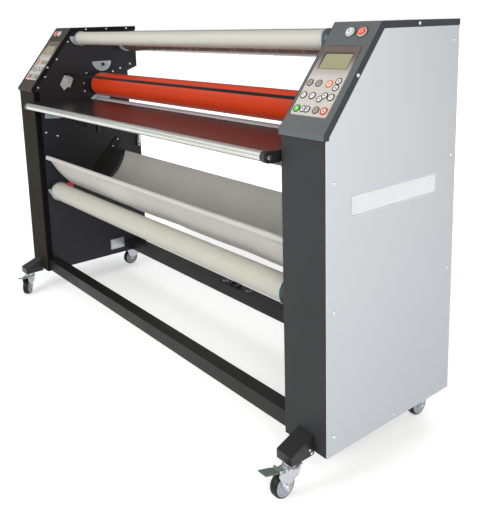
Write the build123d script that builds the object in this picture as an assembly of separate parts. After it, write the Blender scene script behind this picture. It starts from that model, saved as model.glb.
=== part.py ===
from build123d import *
import os
from math import asin, atan2, cos, degrees, hypot, radians, sin, sqrt

# Driving dimensions in millimetres. Y counts from the middle of the cabinets and Z from their
# underside. Everything is moved onto the floor, under the origin, when it is saved.
overall_width = 2050.0
cabinet_width = 169.0
cabinet_depth = 560.0
cabinet_height = 1174.0
floor_clearance = 110.0
sheet = 2.0
plate_thickness = 6.0
base_thickness = 5.0
transport_hole_radius = 5.25
transport_hole_spread = 360.0

# control caps
cap_overhang = 7.0
cap_rise = 276.0
cap_lip = 14.0
cap_side_lip = 18.0
cap_slope_run = 219.0
cap_gap = 1.0

# columns and the exit recess at the back
column_return = 30.0
column_corner = 5.0
column_top_gap = 4.0
recess_depth = 56.0
recess_low_drop = 474.0
recess_high_drop = 222.0
recess_rise = 20.0
recess_width = 100.0

# keypads and push buttons, measured up the slope of the cap
keypad_width = 134.0
keypad_height = 224.0
keypad_thickness = 1.2
keypad_corner = 10.0
keypad_shift = -5.0
keypad_middle = 0.4541
window_width = 102.0
window_height = 52.0
window_up = 63.0
window_thickness = 0.6
key_radius = 10.5
small_key_radius = 6.5
key_rise = 0.8
key_rows = (-11.0, -50.5, -92.5)
key_columns = (-50.0, -17.0, 21.0)
edge_key_column = 49.0
button_radius = 11.0
button_rise = 5.0
button_stem = 9.0
button_setback = 36.4
button_shifts = (-6.0, 36.0)
collar_radius = 15.0
collar_height = 3.0
button_clearance = 0.3
button_travel = 2.5

# laminating rollers
roller_radius = 55.0
sleeve_wall = 6.0
core_wall = 7.0
core_end_gap = 32.0
core_overhang = 6.0
journal_radius = 15.0
roller_y = 55.0
upper_roller_drop = 275.0
nip_lift = 13.5
closed_gap = 0.4
running_clearance = 0.06
plate_hole_margin = 3.0
bearing_length = 34.0
bearing_half_depth = 45.0
bearing_half_height = 36.0
bearing_gap = 0.5
rail_width = 12.0
rail_height = 120.0
cylinder_size = 38.0
cylinder_height = 100.0
cylinder_wall = 5.0
lift_rod_radius = 6.0
lift_rod_length = 67.0
piston_radius = 13.5
piston_height = 8.0
heater_radius = 6.0
heater_cap_radius = 20.0
heater_cap_length = 6.0
heater_bore_radius = 9.0

# drive train in the right cabinet
pulley_radius = 45.0
motor_pulley_radius = 15.0
pulley_width = 20.0
pulley_flange = 4.0
flange_thickness = 2.0
pulley_gap = 5.0
motor_drop = 221.0
belt_thickness = 3.0
belt_clearance = 0.3
motor_shaft_radius = 6.0
gearbox_size = (70.0, 80.0, 90.0)
motor_radius = 34.0
motor_length = 115.0
motor_plate_size = 104.0
motor_plate_thickness = 4.0
standoff_radius = 6.0
standoff_spread = 42.0

# film, core and liner rolls
front_top_setback = 33.0
front_top_drop = 51.0
front_top_radius = 30.0
rear_top_inset = 53.0
rear_top_drop = 73.0
rear_film_radius = 50.0
lower_roll_inset = 78.0
lower_roll_drop = 775.0
lower_roll_radius = 41.0
roll_left_gap = 40.0
roll_right_gap = 61.0
film_margin = 18.0
core_thickness = 3.5
rear_core_radius = 41.0
chuck_flange = 4.0
chuck_thickness = 6.0
chuck_plug = 40.0
mandrel_radius = 10.0
mandrel_slot = 0.3
holder_reach = 12.0
holder_radius = 42.0
rear_holder_radius = 50.0
holder_rise = 10.0
slot_depth = 24.0

# empty supply cradles
cradle_y = 79.0
cradle_drop = 166.0
cradle_radius = 48.0
cradle_wall = 8.0
cradle_floor = 4.0
cradle_reach = 14.0

# guide bar, guide rod and their brackets
guide_bar_y = -112.0
guide_bar_lift = 57.0
guide_bar_size = (12.0, 9.0)
guide_rod_y = -157.0
guide_rod_drop = 67.0
guide_rod_radius = 5.5
bracket_reach = 8.0
upper_bracket = ((-6, 0), (8, 0), (34, -18), (15, -61), (4, -56), (-16, -71), (-32, -45))
lower_bracket = ((-73, 28), (-74, -6), (-8, -12), (12, -9), (12, 12), (-30, 28))

# feed table
nip_step = -2.0
table_thickness = 18.0
table_sheet = 3.0
table_overhang = 16.0
table_rear_y = 8.0
table_side_gap = 20.0
table_gap = 2.0
arm_thickness = 8.0
arm_height = 26.0
pivot_y = -30.0
pivot_drop = 12.0
pivot_radius = 6.0
pivot_boss = 12.0
front_tube_setout = 19.0
front_tube_drop = 5.0
front_tube_radius = 15.0
front_tube_wall = 2.5
front_tube_plug = 14.0
tube_cap_radius = 17.0
tube_cap_length = 7.0
table_stop_setback = 56.0

# cloth tray
tray_front_inset = 37.0
tray_front_drop = 604.0
tray_rear_inset = 99.0
tray_rear_drop = 641.0
tray_rod_radius = 6.0
tray_rod_gap = 0.4
cloth_thickness = 3.0
cloth_end_gap = 14.0
cloth_front_corner = (116.0, 148.0)
cloth_rear_corner = (97.0, 122.0)
cloth_sag = 30.0
cloth_belly = 9.0
cloth_fold = 6.0
cloth_sections = 9
tray_arm_top = (31.0, -77.0)
tray_arm_bottom = (167.0, 75.0)
tray_arm_width = 42.0
tray_arm_thickness = 6.0

# bars between the cabinets
bar_size = 50.0
bar_wall = 3.0
bar_low_z = 8.0
front_bar_inset = 35.0
rear_bar_inset = 73.0
tie_bar_size = 40.0
tie_bar_inset = 90.0
tie_bar_drop = 288.0
clip_x = 14.0
clip_length = 60.0
clip_depth = 24.0
clip_height = 10.0
clip_bolts = (-56.0, 104.0)
clip_washer_radius = 13.0
clip_bolt_radius = 8.0

# casters
caster_inset = 79.0
front_caster_reach = 62.0
rear_caster_inset = 22.0
caster_pad = 8.0
caster_plate_size = (52.0, 40.0)
caster_plate_thickness = 4.0
race_radius = 19.0
race_height = 16.0
kingpin_radius = 5.0
kingpin_head_radius = 8.0
kingpin_head_height = 3.4
swivel_gap = 0.3
crown_radius = 25.0
crown_thickness = 3.0
cheek_thickness = 3.0
cheek_gap = 1.0
trail = 32.0
wheel_radius = 37.5
hub_radius = 31.5
wheel_width = 26.0
tyre_rounding = 5.0
axle_radius = 4.0
axle_head = 7.0
axle_head_length = 4.0
left_front_heading = 48.0
fork_nose = 23.0
fork_tail = 30.0
fork_lip = 8.0
pedal_setback = 8.0
pedal_rise = 5.0
pedal_ear = 6.0
pedal_pin_radius = 2.5
pedal_thickness = 4.0
pedal_tip_rise = 18.0
pedal_overhang = 35.5
tread_half_width = 16.0

# outrigger arms that carry the front casters
outrigger_width = 60.0
outrigger_wall = 3.0
outrigger_back_z = 50.0
outrigger_front_z = 17.0
outrigger_reach = 86.0
outrigger_drop = 10.0

# small things
screw_head_radius = 5.0
screw_head_height = 2.6
screw_shank_radius = 2.5
screw_socket = 1.8
screw_clearance = 0.1

# screw places, from the nearest edges of the cabinet or from the roller axis
side_screw_insets = (28.0, 25.0)
front_screw_drop = 404.0
rear_screw_drops = (61.0, 402.0)
front_screw_heights = (57.0, 419.0)
rear_screw_heights = (57.0, 415.0)
foot_screw = (6.0, 17.0)
outer_lip_screws = (124.0, 191.0)
inner_lip_screws = (87.0, 271.0, 162.0, 51.0)
slope_screws = (35.0, 73.0, 136.0, 199.0)
slope_screw_inset = 7.0
roller_screws = ((-75.0, 6.0), (-73.0, -33.0), (-58.0, 55.0), (63.0, 6.0), (63.0, -33.0))
front_plate_screws = ((48.0, 488.0), (105.0, 510.0), (251.0, 470.0))
rear_plate_screws = ((139.0, 221.0), (97.0, 208.0), (40.0, 189.0), (70.0, 534.0))
knob_inset = 142.0
knob_drop = 764.0
knob_radius = 19.0
knob_length = 12.5
knob_lobes = 8
knob_pin_radius = 5.0
label_low = (68.0, 27.0)
label_high = (146.0, 80.0)
label_thickness = 0.6
badge_ends = (-190.0, 186.0)
badge_drop = 444.0
badge_height = 62.0
badge_corner = 14.0
inlet_size = (48.0, 28.0)
inlet_z = 60.0
inlet_depth = 26.0
inlet_rim = 6.0
inlet_wall = 8.0
inlet_floor = 4.0
inlet_socket = 20.0
inlet_pin_pitch = 9.0
inlet_pin_rise = (-2.0, 3.0, -2.0)
inlet_pin_size = (2.0, 5.0)

# circuit board and power supply in the drive cabinet
board_inset = 45.0
board_low_z = 560.0
board_size = (170.0, 200.0)
board_thickness = 1.6
board_gap = 10.0
board_post_radius = 4.0
board_post_inset = 8.0
board_parts = (
    (25.0, 140.0, 40.0, 40.0, 14.0),
    (85.0, 130.0, 30.0, 30.0, 8.0),
    (20.0, 30.0, 90.0, 24.0, 22.0),
    (125.0, 40.0, 30.0, 60.0, 26.0),
    (85.0, 80.0, 22.0, 30.0, 12.0),
)
supply_inset = 70.0
supply_low_z = 300.0
supply_size = (50.0, 140.0, 180.0)

# values worked out from the driving dimensions
side_x = overall_width / 2
cabinet_inner_x = side_x - cabinet_width
panel_x = side_x - sheet
wall_x = cabinet_inner_x + sheet
wall_back_x = wall_x + plate_thickness
front_y = -cabinet_depth / 2
rear_y = cabinet_depth / 2
cabinet_middle_x = (cabinet_inner_x + side_x) / 2
cap_front_y = front_y - cap_overhang
cap_back_y = rear_y + sheet
cap_bend_z = cabinet_height - cap_rise
cap_lip_z = cap_bend_z - cap_lip
column_top_z = cap_bend_z - column_top_gap
slope_run = cap_slope_run
slope_rise = cap_rise
slope_angle = atan2(slope_rise, slope_run)
slope_length = hypot(slope_rise, slope_run)
keypad_up = keypad_middle * slope_length
button_up = slope_length - button_setback
cap_crest_y = cap_front_y + slope_run
recess_y = rear_y - recess_depth
recess_low_z = cabinet_height - recess_low_drop
recess_high_z = cabinet_height - recess_high_drop
keypad_x = cabinet_middle_x + keypad_shift
button_columns = [cabinet_middle_x + shift for shift in button_shifts]
upper_roller_z = cabinet_height - upper_roller_drop
lower_roller_z = upper_roller_z - nip_lift - closed_gap - 2 * roller_radius
core_radius = roller_radius - sleeve_wall
core_end = wall_x - core_end_gap
roller_end = core_end - core_overhang
front_top_axis = (cap_crest_y + front_top_setback, cabinet_height - front_top_drop)
rear_top_axis = (rear_y - rear_top_inset, cabinet_height - rear_top_drop)
lower_roll_axis = (front_y + lower_roll_inset, cabinet_height - lower_roll_drop)
roll_left = -(wall_x - roll_left_gap)
roll_right = wall_x - roll_right_gap
cradle_axis = (cradle_y, cabinet_height - cradle_drop)
guide_bar_axis = (guide_bar_y, upper_roller_z + guide_bar_lift)
table_top_z = lower_roller_z + roller_radius + nip_step
table_front_y = front_y - table_overhang
table_half_width = wall_x - table_side_gap
pivot_axis = (pivot_y, table_top_z - pivot_drop)
front_tube_axis = (table_front_y - front_tube_setout, table_top_z - front_tube_drop)
table_stop_y = table_front_y + table_stop_setback
guide_rod_axis = (guide_rod_y, table_top_z - guide_rod_drop)
tray_front_axis = (front_y + tray_front_inset, cabinet_height - tray_front_drop)
tray_rear_axis = (rear_y - tray_rear_inset, cabinet_height - tray_rear_drop)
cloth_front_low = (tray_front_axis[0] + cloth_front_corner[0], tray_front_axis[1] - cloth_front_corner[1])
cloth_rear_low = (tray_rear_axis[0] - cloth_rear_corner[0], tray_rear_axis[1] - cloth_rear_corner[1])
tray_arm_high = (tray_rear_axis[0] - tray_arm_top[0], tray_rear_axis[1] - tray_arm_top[1])
tray_arm_low = (tray_rear_axis[0] - tray_arm_bottom[0], tray_rear_axis[1] - tray_arm_bottom[1])
cloth_half_width = wall_x - cloth_end_gap
front_bar_y = front_y + front_bar_inset
rear_bar_y = rear_y - rear_bar_inset
tie_bar_axis = (rear_y - tie_bar_inset, cabinet_height - tie_bar_drop)
caster_x = side_x - caster_inset
front_caster_y = front_y - front_caster_reach
rear_caster_y = rear_y - rear_caster_inset
outrigger_front_y = front_y - outrigger_reach
knob_axis = (front_y + knob_inset, cabinet_height - knob_drop)
bearing_x = wall_back_x + bearing_gap
journal_end = bearing_x + bearing_length
pulley_x = journal_end + pulley_gap
motor_z = lower_roller_z - motor_drop
axle_z = wheel_radius - floor_clearance
race_z = -caster_pad - caster_plate_thickness - race_height
crown_z = race_z - swivel_gap
pedal_pivot = (-trail - fork_nose + pedal_setback, crown_z + pedal_rise)
tread_reach = trail + wheel_radius + pedal_overhang
front_reach = front_caster_y - tread_reach
back_reach = cap_back_y
home = Pos(0, -(front_reach + back_reach) / 2, floor_clearance)
slope_frame = Plane(
    origin=(0, cap_front_y, cap_bend_z),
    x_dir=(1, 0, 0),
    z_dir=(0, -sin(slope_angle), cos(slope_angle)),
).location


def block(x0, x1, y0, y1, z0, z1):
    middle = Pos((x0 + x1) / 2, (y0 + y1) / 2, (z0 + z1) / 2)
    return middle * Box(x1 - x0, y1 - y0, z1 - z0)


def bar(x0, x1, axis, radius):
    return Pos((x0 + x1) / 2, axis[0], axis[1]) * Rot(0, 90, 0) * Cylinder(radius, x1 - x0)


def pipe(x0, x1, axis, radius, bore):
    return bar(x0, x1, axis, radius) - bar(x0, x1, axis, bore)


def post(x, y, z0, z1, radius):
    return Pos(x, y, (z0 + z1) / 2) * Cylinder(radius, z1 - z0)


def plate(points, x0, x1):
    outline = Plane.YZ.offset(x0) * make_face(Polyline(*points, close=True))
    return extrude(outline, amount=x1 - x0)


def slot(x0, x1, axis, radius, reach):
    # a round hole drawn upwards by reach
    top = (axis[0], axis[1] + reach)
    middle = block(x0, x1, axis[0] - radius, axis[0] + radius, axis[1], top[1])
    return bar(x0, x1, axis, radius) + bar(x0, x1, top, radius) + middle


def mirrored(shape):
    return mirror(shape, about=Plane.YZ)


def pair(shape):
    return [shape, mirrored(shape)]


def save(name, pieces):
    solids = [solid for piece in pieces for solid in piece.solids()]
    shape = solids[0] if len(solids) == 1 else Compound(solids)
    export_step(home * shape, f"parts/{name}.step")


def save_sides(name, shape):
    save(f"right_{name}", [shape])
    save(f"left_{name}", [mirrored(shape)])


def slope_z(y, depth):
    # height of the cap's slope at y, depth below its face
    return cap_bend_z + (y - cap_front_y) * slope_rise / slope_run - depth / cos(slope_angle)


def slope_y(z, depth):
    return cap_front_y + (z - cap_bend_z + depth / cos(slope_angle)) * slope_run / slope_rise


def cap_line(depth):
    # the cap seen from the side, from the front lip to the back lip, moved inwards
    front = cap_front_y + depth
    top = cabinet_height - depth
    back = cap_back_y - depth
    return [
        (front, cap_lip_z),
        (front, slope_z(front, depth)),
        (slope_y(top, depth), top),
        (back, top),
        (back, cabinet_height - cap_side_lip),
    ]


def control_cap():
    skin = cap_line(0) + cap_line(sheet)[::-1]
    side_lip = cap_line(0) + cap_line(cap_side_lip)[3::-1]
    cap = plate(skin, cabinet_inner_x, side_x)
    cap += plate(side_lip, cabinet_inner_x, wall_x)
    cap += plate(side_lip, panel_x, side_x)
    for x in button_columns:
        hole = Cylinder(button_radius + button_clearance, 4 * sheet)
        cap -= slope_frame * Pos(x, button_up, 0) * hole
    hole = screw_shank_radius + screw_clearance
    for place in outer_lip_screw_places():
        cap -= bar(panel_x, side_x, place, hole)
    for place in inner_lip_screw_places():
        cap -= bar(cabinet_inner_x, wall_x, place, hole)
    return cap


def lip_screw_places(setback, insets):
    # one screw on the slope and the others along the top
    y = cap_front_y + setback
    middle = cap_side_lip / 2
    return [(y, slope_z(y, middle))] + [(rear_y - inset, cabinet_height - middle) for inset in insets]


def outer_lip_screw_places():
    return lip_screw_places(outer_lip_screws[0], outer_lip_screws[1:])


def inner_lip_screw_places():
    return lip_screw_places(inner_lip_screws[0], inner_lip_screws[1:])


def side_panel():
    depth = cap_side_lip + cap_gap
    top = cabinet_height - depth
    lip_y = cap_front_y + depth
    outline = [
        (front_y, 0),
        (rear_y, 0),
        (rear_y, top),
        (slope_y(top, depth), top),
        (lip_y, slope_z(lip_y, depth)),
        (lip_y, cap_lip_z - cap_gap),
        (front_y, cap_lip_z - cap_gap),
    ]
    panel = plate(outline, panel_x, side_x)
    for y, z in side_screw_places():
        panel -= bar(panel_x, side_x, (y, z), screw_shank_radius + screw_clearance)
    return panel


def side_screw_places():
    front = front_y + side_screw_insets[0]
    back = rear_y - side_screw_insets[1]
    places = [foot_screw, (front, cabinet_height - front_screw_drop)]
    places += [(front, height) for height in front_screw_heights]
    places += [(back, cabinet_height - drop) for drop in rear_screw_drops]
    return places + [(back, height) for height in rear_screw_heights]


def recess_outline(inset):
    # the exit recess from the side, drawn smaller by inset
    low = recess_low_z + inset
    high = recess_high_z - inset
    return [(rear_y, low), (recess_y + inset, low), (recess_y + inset, high), (rear_y, high + recess_rise)]


def inner_plate():
    front = front_y + column_corner
    outline = [
        (front, 0),
        (rear_y - sheet, 0),
        (rear_y - sheet, cabinet_height - sheet),
        (slope_y(cabinet_height - sheet, sheet), cabinet_height - sheet),
        (front, slope_z(front, sheet)),
    ]
    wall = plate(outline, wall_x, wall_back_x) - plate(recess_outline(0), wall_x, wall_back_x)
    hole = journal_radius + plate_hole_margin
    low = (roller_y, upper_roller_z - nip_lift)
    wall -= slot(wall_x, wall_back_x, low, hole, nip_lift)
    wall -= bar(wall_x, wall_back_x, (roller_y, lower_roller_z), hole)
    for place in wall_screw_places() + inner_lip_screw_places():
        wall -= bar(wall_x, wall_back_x, place, screw_shank_radius + screw_clearance)
    return wall


def wall_screw_places():
    depth = cap_side_lip + slope_screw_inset
    places = [(cap_front_y + run, slope_z(cap_front_y + run, depth)) for run in slope_screws]
    places += [(roller_y + along, upper_roller_z + up) for along, up in roller_screws]
    places += [(front_y + inset, cabinet_height - drop) for inset, drop in front_plate_screws]
    return places + [(rear_y - inset, cabinet_height - drop) for inset, drop in rear_plate_screws]


def front_column():
    width = panel_x - cabinet_inner_x
    middle = Pos((panel_x + cabinet_inner_x) / 2, front_y + column_return / 2)
    outer = middle * Rectangle(width, column_return)
    outer = fillet(outer.vertices().group_by(Axis.Y)[0], column_corner)
    hollow_middle = Pos((panel_x + cabinet_inner_x) / 2, front_y + sheet + column_return / 2)
    hollow = hollow_middle * Rectangle(width - 2 * sheet, column_return)
    hollow = fillet(hollow.vertices().group_by(Axis.Y)[0], column_corner - sheet)
    column = extrude(outer - hollow, amount=column_top_z)
    x0, y0 = cabinet_inner_x, front_y
    notch = block(x0, x0 + sheet + 0.5, y0, y0 + column_return, cap_lip_z - cap_gap, column_top_z)
    return column - notch


def rear_cover():
    window_x = wall_x + recess_width
    cover = block(wall_x, panel_x, rear_y - sheet, rear_y, 0, cabinet_height - sheet)
    cover -= plate(recess_outline(0), wall_x, window_x)
    shell = plate(recess_outline(0), wall_back_x, window_x)
    return cover + shell - plate(recess_outline(sheet), wall_x, window_x - sheet)


def inlet_cut():
    width, height = inlet_size
    low, high = inlet_z - height / 2, inlet_z + height / 2
    x0, x1 = cabinet_middle_x - width / 2, cabinet_middle_x + width / 2
    return block(x0, x1, rear_y - sheet, rear_y, low, high)


def mains_inlet():
    width, height = inlet_size
    x0, x1 = cabinet_middle_x - width / 2, cabinet_middle_x + width / 2
    low, high = inlet_z - height / 2, inlet_z + height / 2
    rim = inlet_rim
    top = rear_y + sheet
    floor = top - inlet_socket
    body = block(x0, x1, rear_y - inlet_depth, rear_y, low, high)
    body += block(x0 - rim, x1 + rim, rear_y, top, low - rim, high + rim)
    body -= block(x0 + inlet_wall, x1 - inlet_wall, floor, top, low + inlet_floor, high - inlet_floor)
    half_wide, half_high = inlet_pin_size[0] / 2, inlet_pin_size[1] / 2
    for step, rise in zip((-1, 0, 1), inlet_pin_rise):
        x = cabinet_middle_x + step * inlet_pin_pitch
        z = inlet_z + rise
        pin_top = top - inlet_socket / 4
        body += block(x - half_wide, x + half_wide, floor, pin_top, z - half_high, z + half_high)
    return body


def base_plate():
    base = block(
        wall_back_x, panel_x - sheet, front_y + column_corner, rear_y - sheet, 0, base_thickness)
    width, depth = caster_plate_size
    y0, y1 = rear_caster_y - depth / 2, rear_y - sheet
    base += block(caster_x - width / 2, caster_x + width / 2, y0, y1, -caster_pad, 0)
    for y in (-transport_hole_spread / 2, transport_hole_spread / 2):
        base -= post(cabinet_middle_x, y, 0, base_thickness, transport_hole_radius)
    return base


def keypad():
    middle = Pos(keypad_x, keypad_up, 0)
    pad = extrude(RectangleRounded(keypad_width, keypad_height, keypad_corner), keypad_thickness)
    for across, up, radius in key_places():
        pad += Pos(across, up, keypad_thickness + key_rise / 2) * Cylinder(radius, key_rise)
    window = extrude(Rectangle(window_width, window_height), window_thickness)
    window = Pos(0, window_up, keypad_thickness) * window
    return slope_frame * middle * pad, slope_frame * middle * window


def key_places():
    places = [(across, up, key_radius) for up in key_rows for across in key_columns]
    places += [(edge_key_column, up, key_radius) for up in key_rows[1:]]
    top = key_rows[0]
    places += [(edge_key_column, top + lift, small_key_radius) for lift in (8.0, -8.0)]
    return places


def button_parts(x):
    seat = slope_frame * Pos(x, button_up, 0)
    bore = button_radius + button_clearance
    collar = Cylinder(collar_radius, collar_height) - Cylinder(bore, collar_height)
    collar = seat * Pos(0, 0, collar_height / 2) * collar
    length = button_rise + collar_height + button_stem
    cap = Pos(0, 0, collar_height + button_rise - length / 2) * Cylinder(button_radius, length)
    cap = fillet(cap.edges().group_by(Axis.Z)[-1], 1.2)
    return collar, seat * cap


def square_tube(half_length, y, low, size, wall):
    outer = block(-half_length, half_length, y - size / 2, y + size / 2, low, low + size)
    y0, y1 = y - size / 2 + wall, y + size / 2 - wall
    return outer - block(-half_length, half_length, y0, y1, low + wall, low + size - wall)


def bar_clip():
    # a clip on the rear bar between two bolts with washers
    top = bar_low_z + bar_size
    y0, y1 = rear_bar_y - clip_depth / 2, rear_bar_y + clip_depth / 2
    x0, x1 = clip_x - clip_length / 2, clip_x + clip_length / 2
    clip = block(x0, x1, y0, y1, top, top + clip_height)
    clip -= block(x0 + 14.0, x1 - 14.0, y0, y1 - 8.0, top + 3.0, top + clip_height)
    parts = [fillet(clip.edges().filter_by(Axis.Z).group_by(Axis.Y)[-1], 3.0)]
    for x in clip_bolts:
        bolt = post(x, rear_bar_y, top, top + 2.0, clip_washer_radius)
        bolt += post(x, rear_bar_y, top + 2.0, top + 7.0, clip_bolt_radius)
        parts.append(fillet(bolt.edges().group_by(Axis.Z)[-1], 2.0))
    return parts


def roller_core(axis, reach):
    core = bar(-core_end, core_end, axis, core_radius)
    core -= bar(-core_end + core_wall, core_end - core_wall, axis, core_radius - core_wall)
    shaft_end = journal_end - bearing_gap
    for end in (-shaft_end, core_end - core_wall):
        length = shaft_end - core_end + core_wall
        core += bar(end, end + length, axis, journal_radius)
    if reach:
        core += bar(shaft_end, pulley_x + pulley_width + 2.0, axis, journal_radius)
        core += pulley(axis, pulley_radius)
    else:
        core -= bar(-shaft_end, shaft_end, axis, heater_bore_radius)
    return core


def pulley(axis, radius):
    end = pulley_x + pulley_width
    wheel = bar(pulley_x, end, axis, radius)
    wheel += bar(pulley_x, pulley_x + flange_thickness, axis, radius + pulley_flange)
    wheel += bar(end - flange_thickness, end, axis, radius + pulley_flange)
    return wheel


def loop_outline(grow, x0, x1):
    # the two pulleys and the strands between them, grown outwards
    big = pulley_radius + grow
    small = motor_pulley_radius + grow
    tilt = (big - small) / motor_drop
    across = sqrt(1 - tilt * tilt)
    corners = [
        (roller_y + big * across, lower_roller_z - big * tilt),
        (roller_y + small * across, motor_z - small * tilt),
        (roller_y - small * across, motor_z - small * tilt),
        (roller_y - big * across, lower_roller_z - big * tilt),
    ]
    loop = plate(corners, x0, x1)
    loop += bar(x0, x1, (roller_y, lower_roller_z), big)
    return loop + bar(x0, x1, (roller_y, motor_z), small)


def drive_belt():
    inset = flange_thickness + 1.0
    x0, x1 = pulley_x + inset, pulley_x + pulley_width - inset
    outer = loop_outline(belt_clearance + belt_thickness, x0, x1)
    return outer - loop_outline(belt_clearance, x0, x1)


def motor_parts():
    axis = (roller_y, motor_z)
    face = pulley_x + pulley_width + pulley_gap
    half = motor_plate_size / 2
    y0, y1 = roller_y - half, roller_y + half
    mount = block(face, face + motor_plate_thickness, y0, y1, motor_z - half, motor_z + half)
    mount -= bar(face, face + motor_plate_thickness, axis, motor_shaft_radius + 1.0)
    back = face + motor_plate_thickness
    width, depth, height = gearbox_size
    y0, y1 = roller_y - depth / 2, roller_y + depth / 2
    gearbox = block(back, back + width, y0, y1, motor_z - height / 2, motor_z + height / 2)
    low = motor_z - height / 2
    gearbox += post(back + width / 2, roller_y, low - motor_length, low, motor_radius)
    hole = motor_shaft_radius + running_clearance
    gearbox -= bar(back, back + width / 2, axis, hole)
    parts = [mount, gearbox]
    for dy in (-standoff_spread, standoff_spread):
        for dz in (-standoff_spread, standoff_spread):
            place = (roller_y + dy, motor_z + dz)
            parts.append(bar(wall_back_x, face, place, standoff_radius))
    shaft_end = back + width / 2 - 1.0
    turning = pulley(axis, motor_pulley_radius) + bar(pulley_x, shaft_end, axis, motor_shaft_radius)
    return parts, turning


def bearing_block(x0, axis, bore):
    y0, y1 = axis[0] - bearing_half_depth, axis[0] + bearing_half_depth
    z0, z1 = axis[1] - bearing_half_height, axis[1] + bearing_half_height
    return block(x0, journal_end, y0, y1, z0, z1) - bar(x0, journal_end, axis, bore)


def upper_bearing():
    # the sliding block, its lift rod and its piston
    axis = (roller_y, upper_roller_z)
    slider = bearing_block(bearing_x, axis, journal_radius + running_clearance)
    top = upper_roller_z + bearing_half_height
    x = wall_back_x + cylinder_size / 2
    slider += post(x, roller_y, top, top + lift_rod_length, lift_rod_radius)
    rod_top = top + lift_rod_length
    return slider + post(x, roller_y, rod_top, rod_top + piston_height, piston_radius)


def lift_unit():
    # two guide rails and the cylinder above the sliding block
    rail_low = upper_roller_z - bearing_half_height - nip_lift - 10.0
    parts = []
    for side in (-1, 1):
        near = roller_y + side * (bearing_half_depth + 0.4)
        far = near + side * rail_width
        y0, y1 = min(near, far), max(near, far)
        parts.append(block(wall_back_x, journal_end, y0, y1, rail_low, rail_low + rail_height))
    rod_top = upper_roller_z + bearing_half_height + lift_rod_length
    low = rod_top - nip_lift - cylinder_wall - 2.0
    half = cylinder_size / 2
    x = wall_back_x + half
    shell = block(x - half, x + half, roller_y - half, roller_y + half, low, low + cylinder_height)
    shell -= post(x, roller_y, low + cylinder_wall, low + cylinder_height - cylinder_wall, piston_radius + 0.3)
    shell -= post(x, roller_y, low, low + cylinder_wall, lift_rod_radius + running_clearance)
    return parts + [shell]


def roller_heater():
    # a heating rod on the upper roller's axis, held by a cap outside each sliding block
    axis = (roller_y, upper_roller_z)
    rod = bar(-journal_end, journal_end, axis, heater_radius)
    for side in (-1, 1):
        near, far = side * journal_end, side * (journal_end + heater_cap_length)
        rod += bar(min(near, far), max(near, far), axis, heater_cap_radius)
    return rod


def mandrel(axis, core_outer, core_inner):
    # a shaft with a plug and a flange for each end of its core
    shaft_end = wall_x - bearing_gap
    parts = bar(-shaft_end, shaft_end, axis, mandrel_radius)
    for side, end in ((-1, roll_left), (1, roll_right)):
        flange = sorted((end, end + side * chuck_thickness))
        parts += bar(flange[0], flange[1], axis, core_outer + chuck_flange)
        plug = sorted((end, end - side * chuck_plug))
        parts += bar(plug[0], plug[1], axis, core_inner)
    return parts


def mandrel_holder(axis, radius, rise):
    # a half round plate with a flat top and a slot that the shaft drops into
    x0 = wall_x - holder_reach
    y, top = axis[0], axis[1] + rise
    holder = bar(x0, wall_x, (y, top), radius)
    holder -= block(x0, wall_x, y - radius, y + radius, top, top + radius)
    return holder - slot(x0, wall_x, axis, mandrel_radius + mandrel_slot, slot_depth)


def cradle():
    # a half round cup, open at the top, for a spare supply roll
    x0 = wall_x - cradle_reach
    y, z = cradle_axis
    cup = bar(x0, wall_x, cradle_axis, cradle_radius)
    cup -= bar(x0, wall_x - cradle_floor, cradle_axis, cradle_radius - cradle_wall)
    return cup - block(x0, wall_x, y - cradle_radius, y + cradle_radius, z, z + cradle_radius)


def wall_brackets():
    # everything that is bolted to the inner face of the right-hand plate
    x0 = wall_x - bracket_reach
    bar_low = guide_bar_axis[1] - guide_bar_size[1] / 2
    y, z = guide_bar_axis[0], bar_low
    upper = [(y + along, z + up) for along, up in upper_bracket]
    y, z = guide_rod_axis
    lower = [(y + along, z + up) for along, up in lower_bracket]
    stop_top = pivot_axis[1] - arm_height / 2 - 0.3
    pin_end = table_half_width + table_gap
    front_axes = (front_top_axis, lower_roll_axis)
    parts = [mandrel_holder(axis, holder_radius, holder_rise) for axis in front_axes]
    parts += [mandrel_holder(rear_top_axis, rear_holder_radius, 0.0), cradle()]
    parts += [plate(upper, x0, wall_x), plate(lower, x0, wall_x)]
    pivot = bar(x0, wall_x, pivot_axis, pivot_boss) + bar(pin_end, x0, pivot_axis, pivot_radius)
    parts.append(pivot)
    stop_x = table_half_width + 1.0
    parts.append(block(stop_x, wall_x, table_stop_y - 6, table_stop_y + 6, stop_top - 12, stop_top))
    return parts


def feed_table():
    low = table_top_z - table_thickness
    half = table_half_width
    table = block(-half, half, table_front_y, table_rear_y, low, table_top_z)
    inset = table_sheet
    y0, y1 = table_front_y + inset, table_rear_y - inset
    table -= block(-half + inset, half - inset, y0, y1, low, table_top_z - inset)
    edges = table.edges().filter_by(Axis.X).group_by(Axis.Z)[-1]
    return fillet(edges, 1.5)


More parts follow.
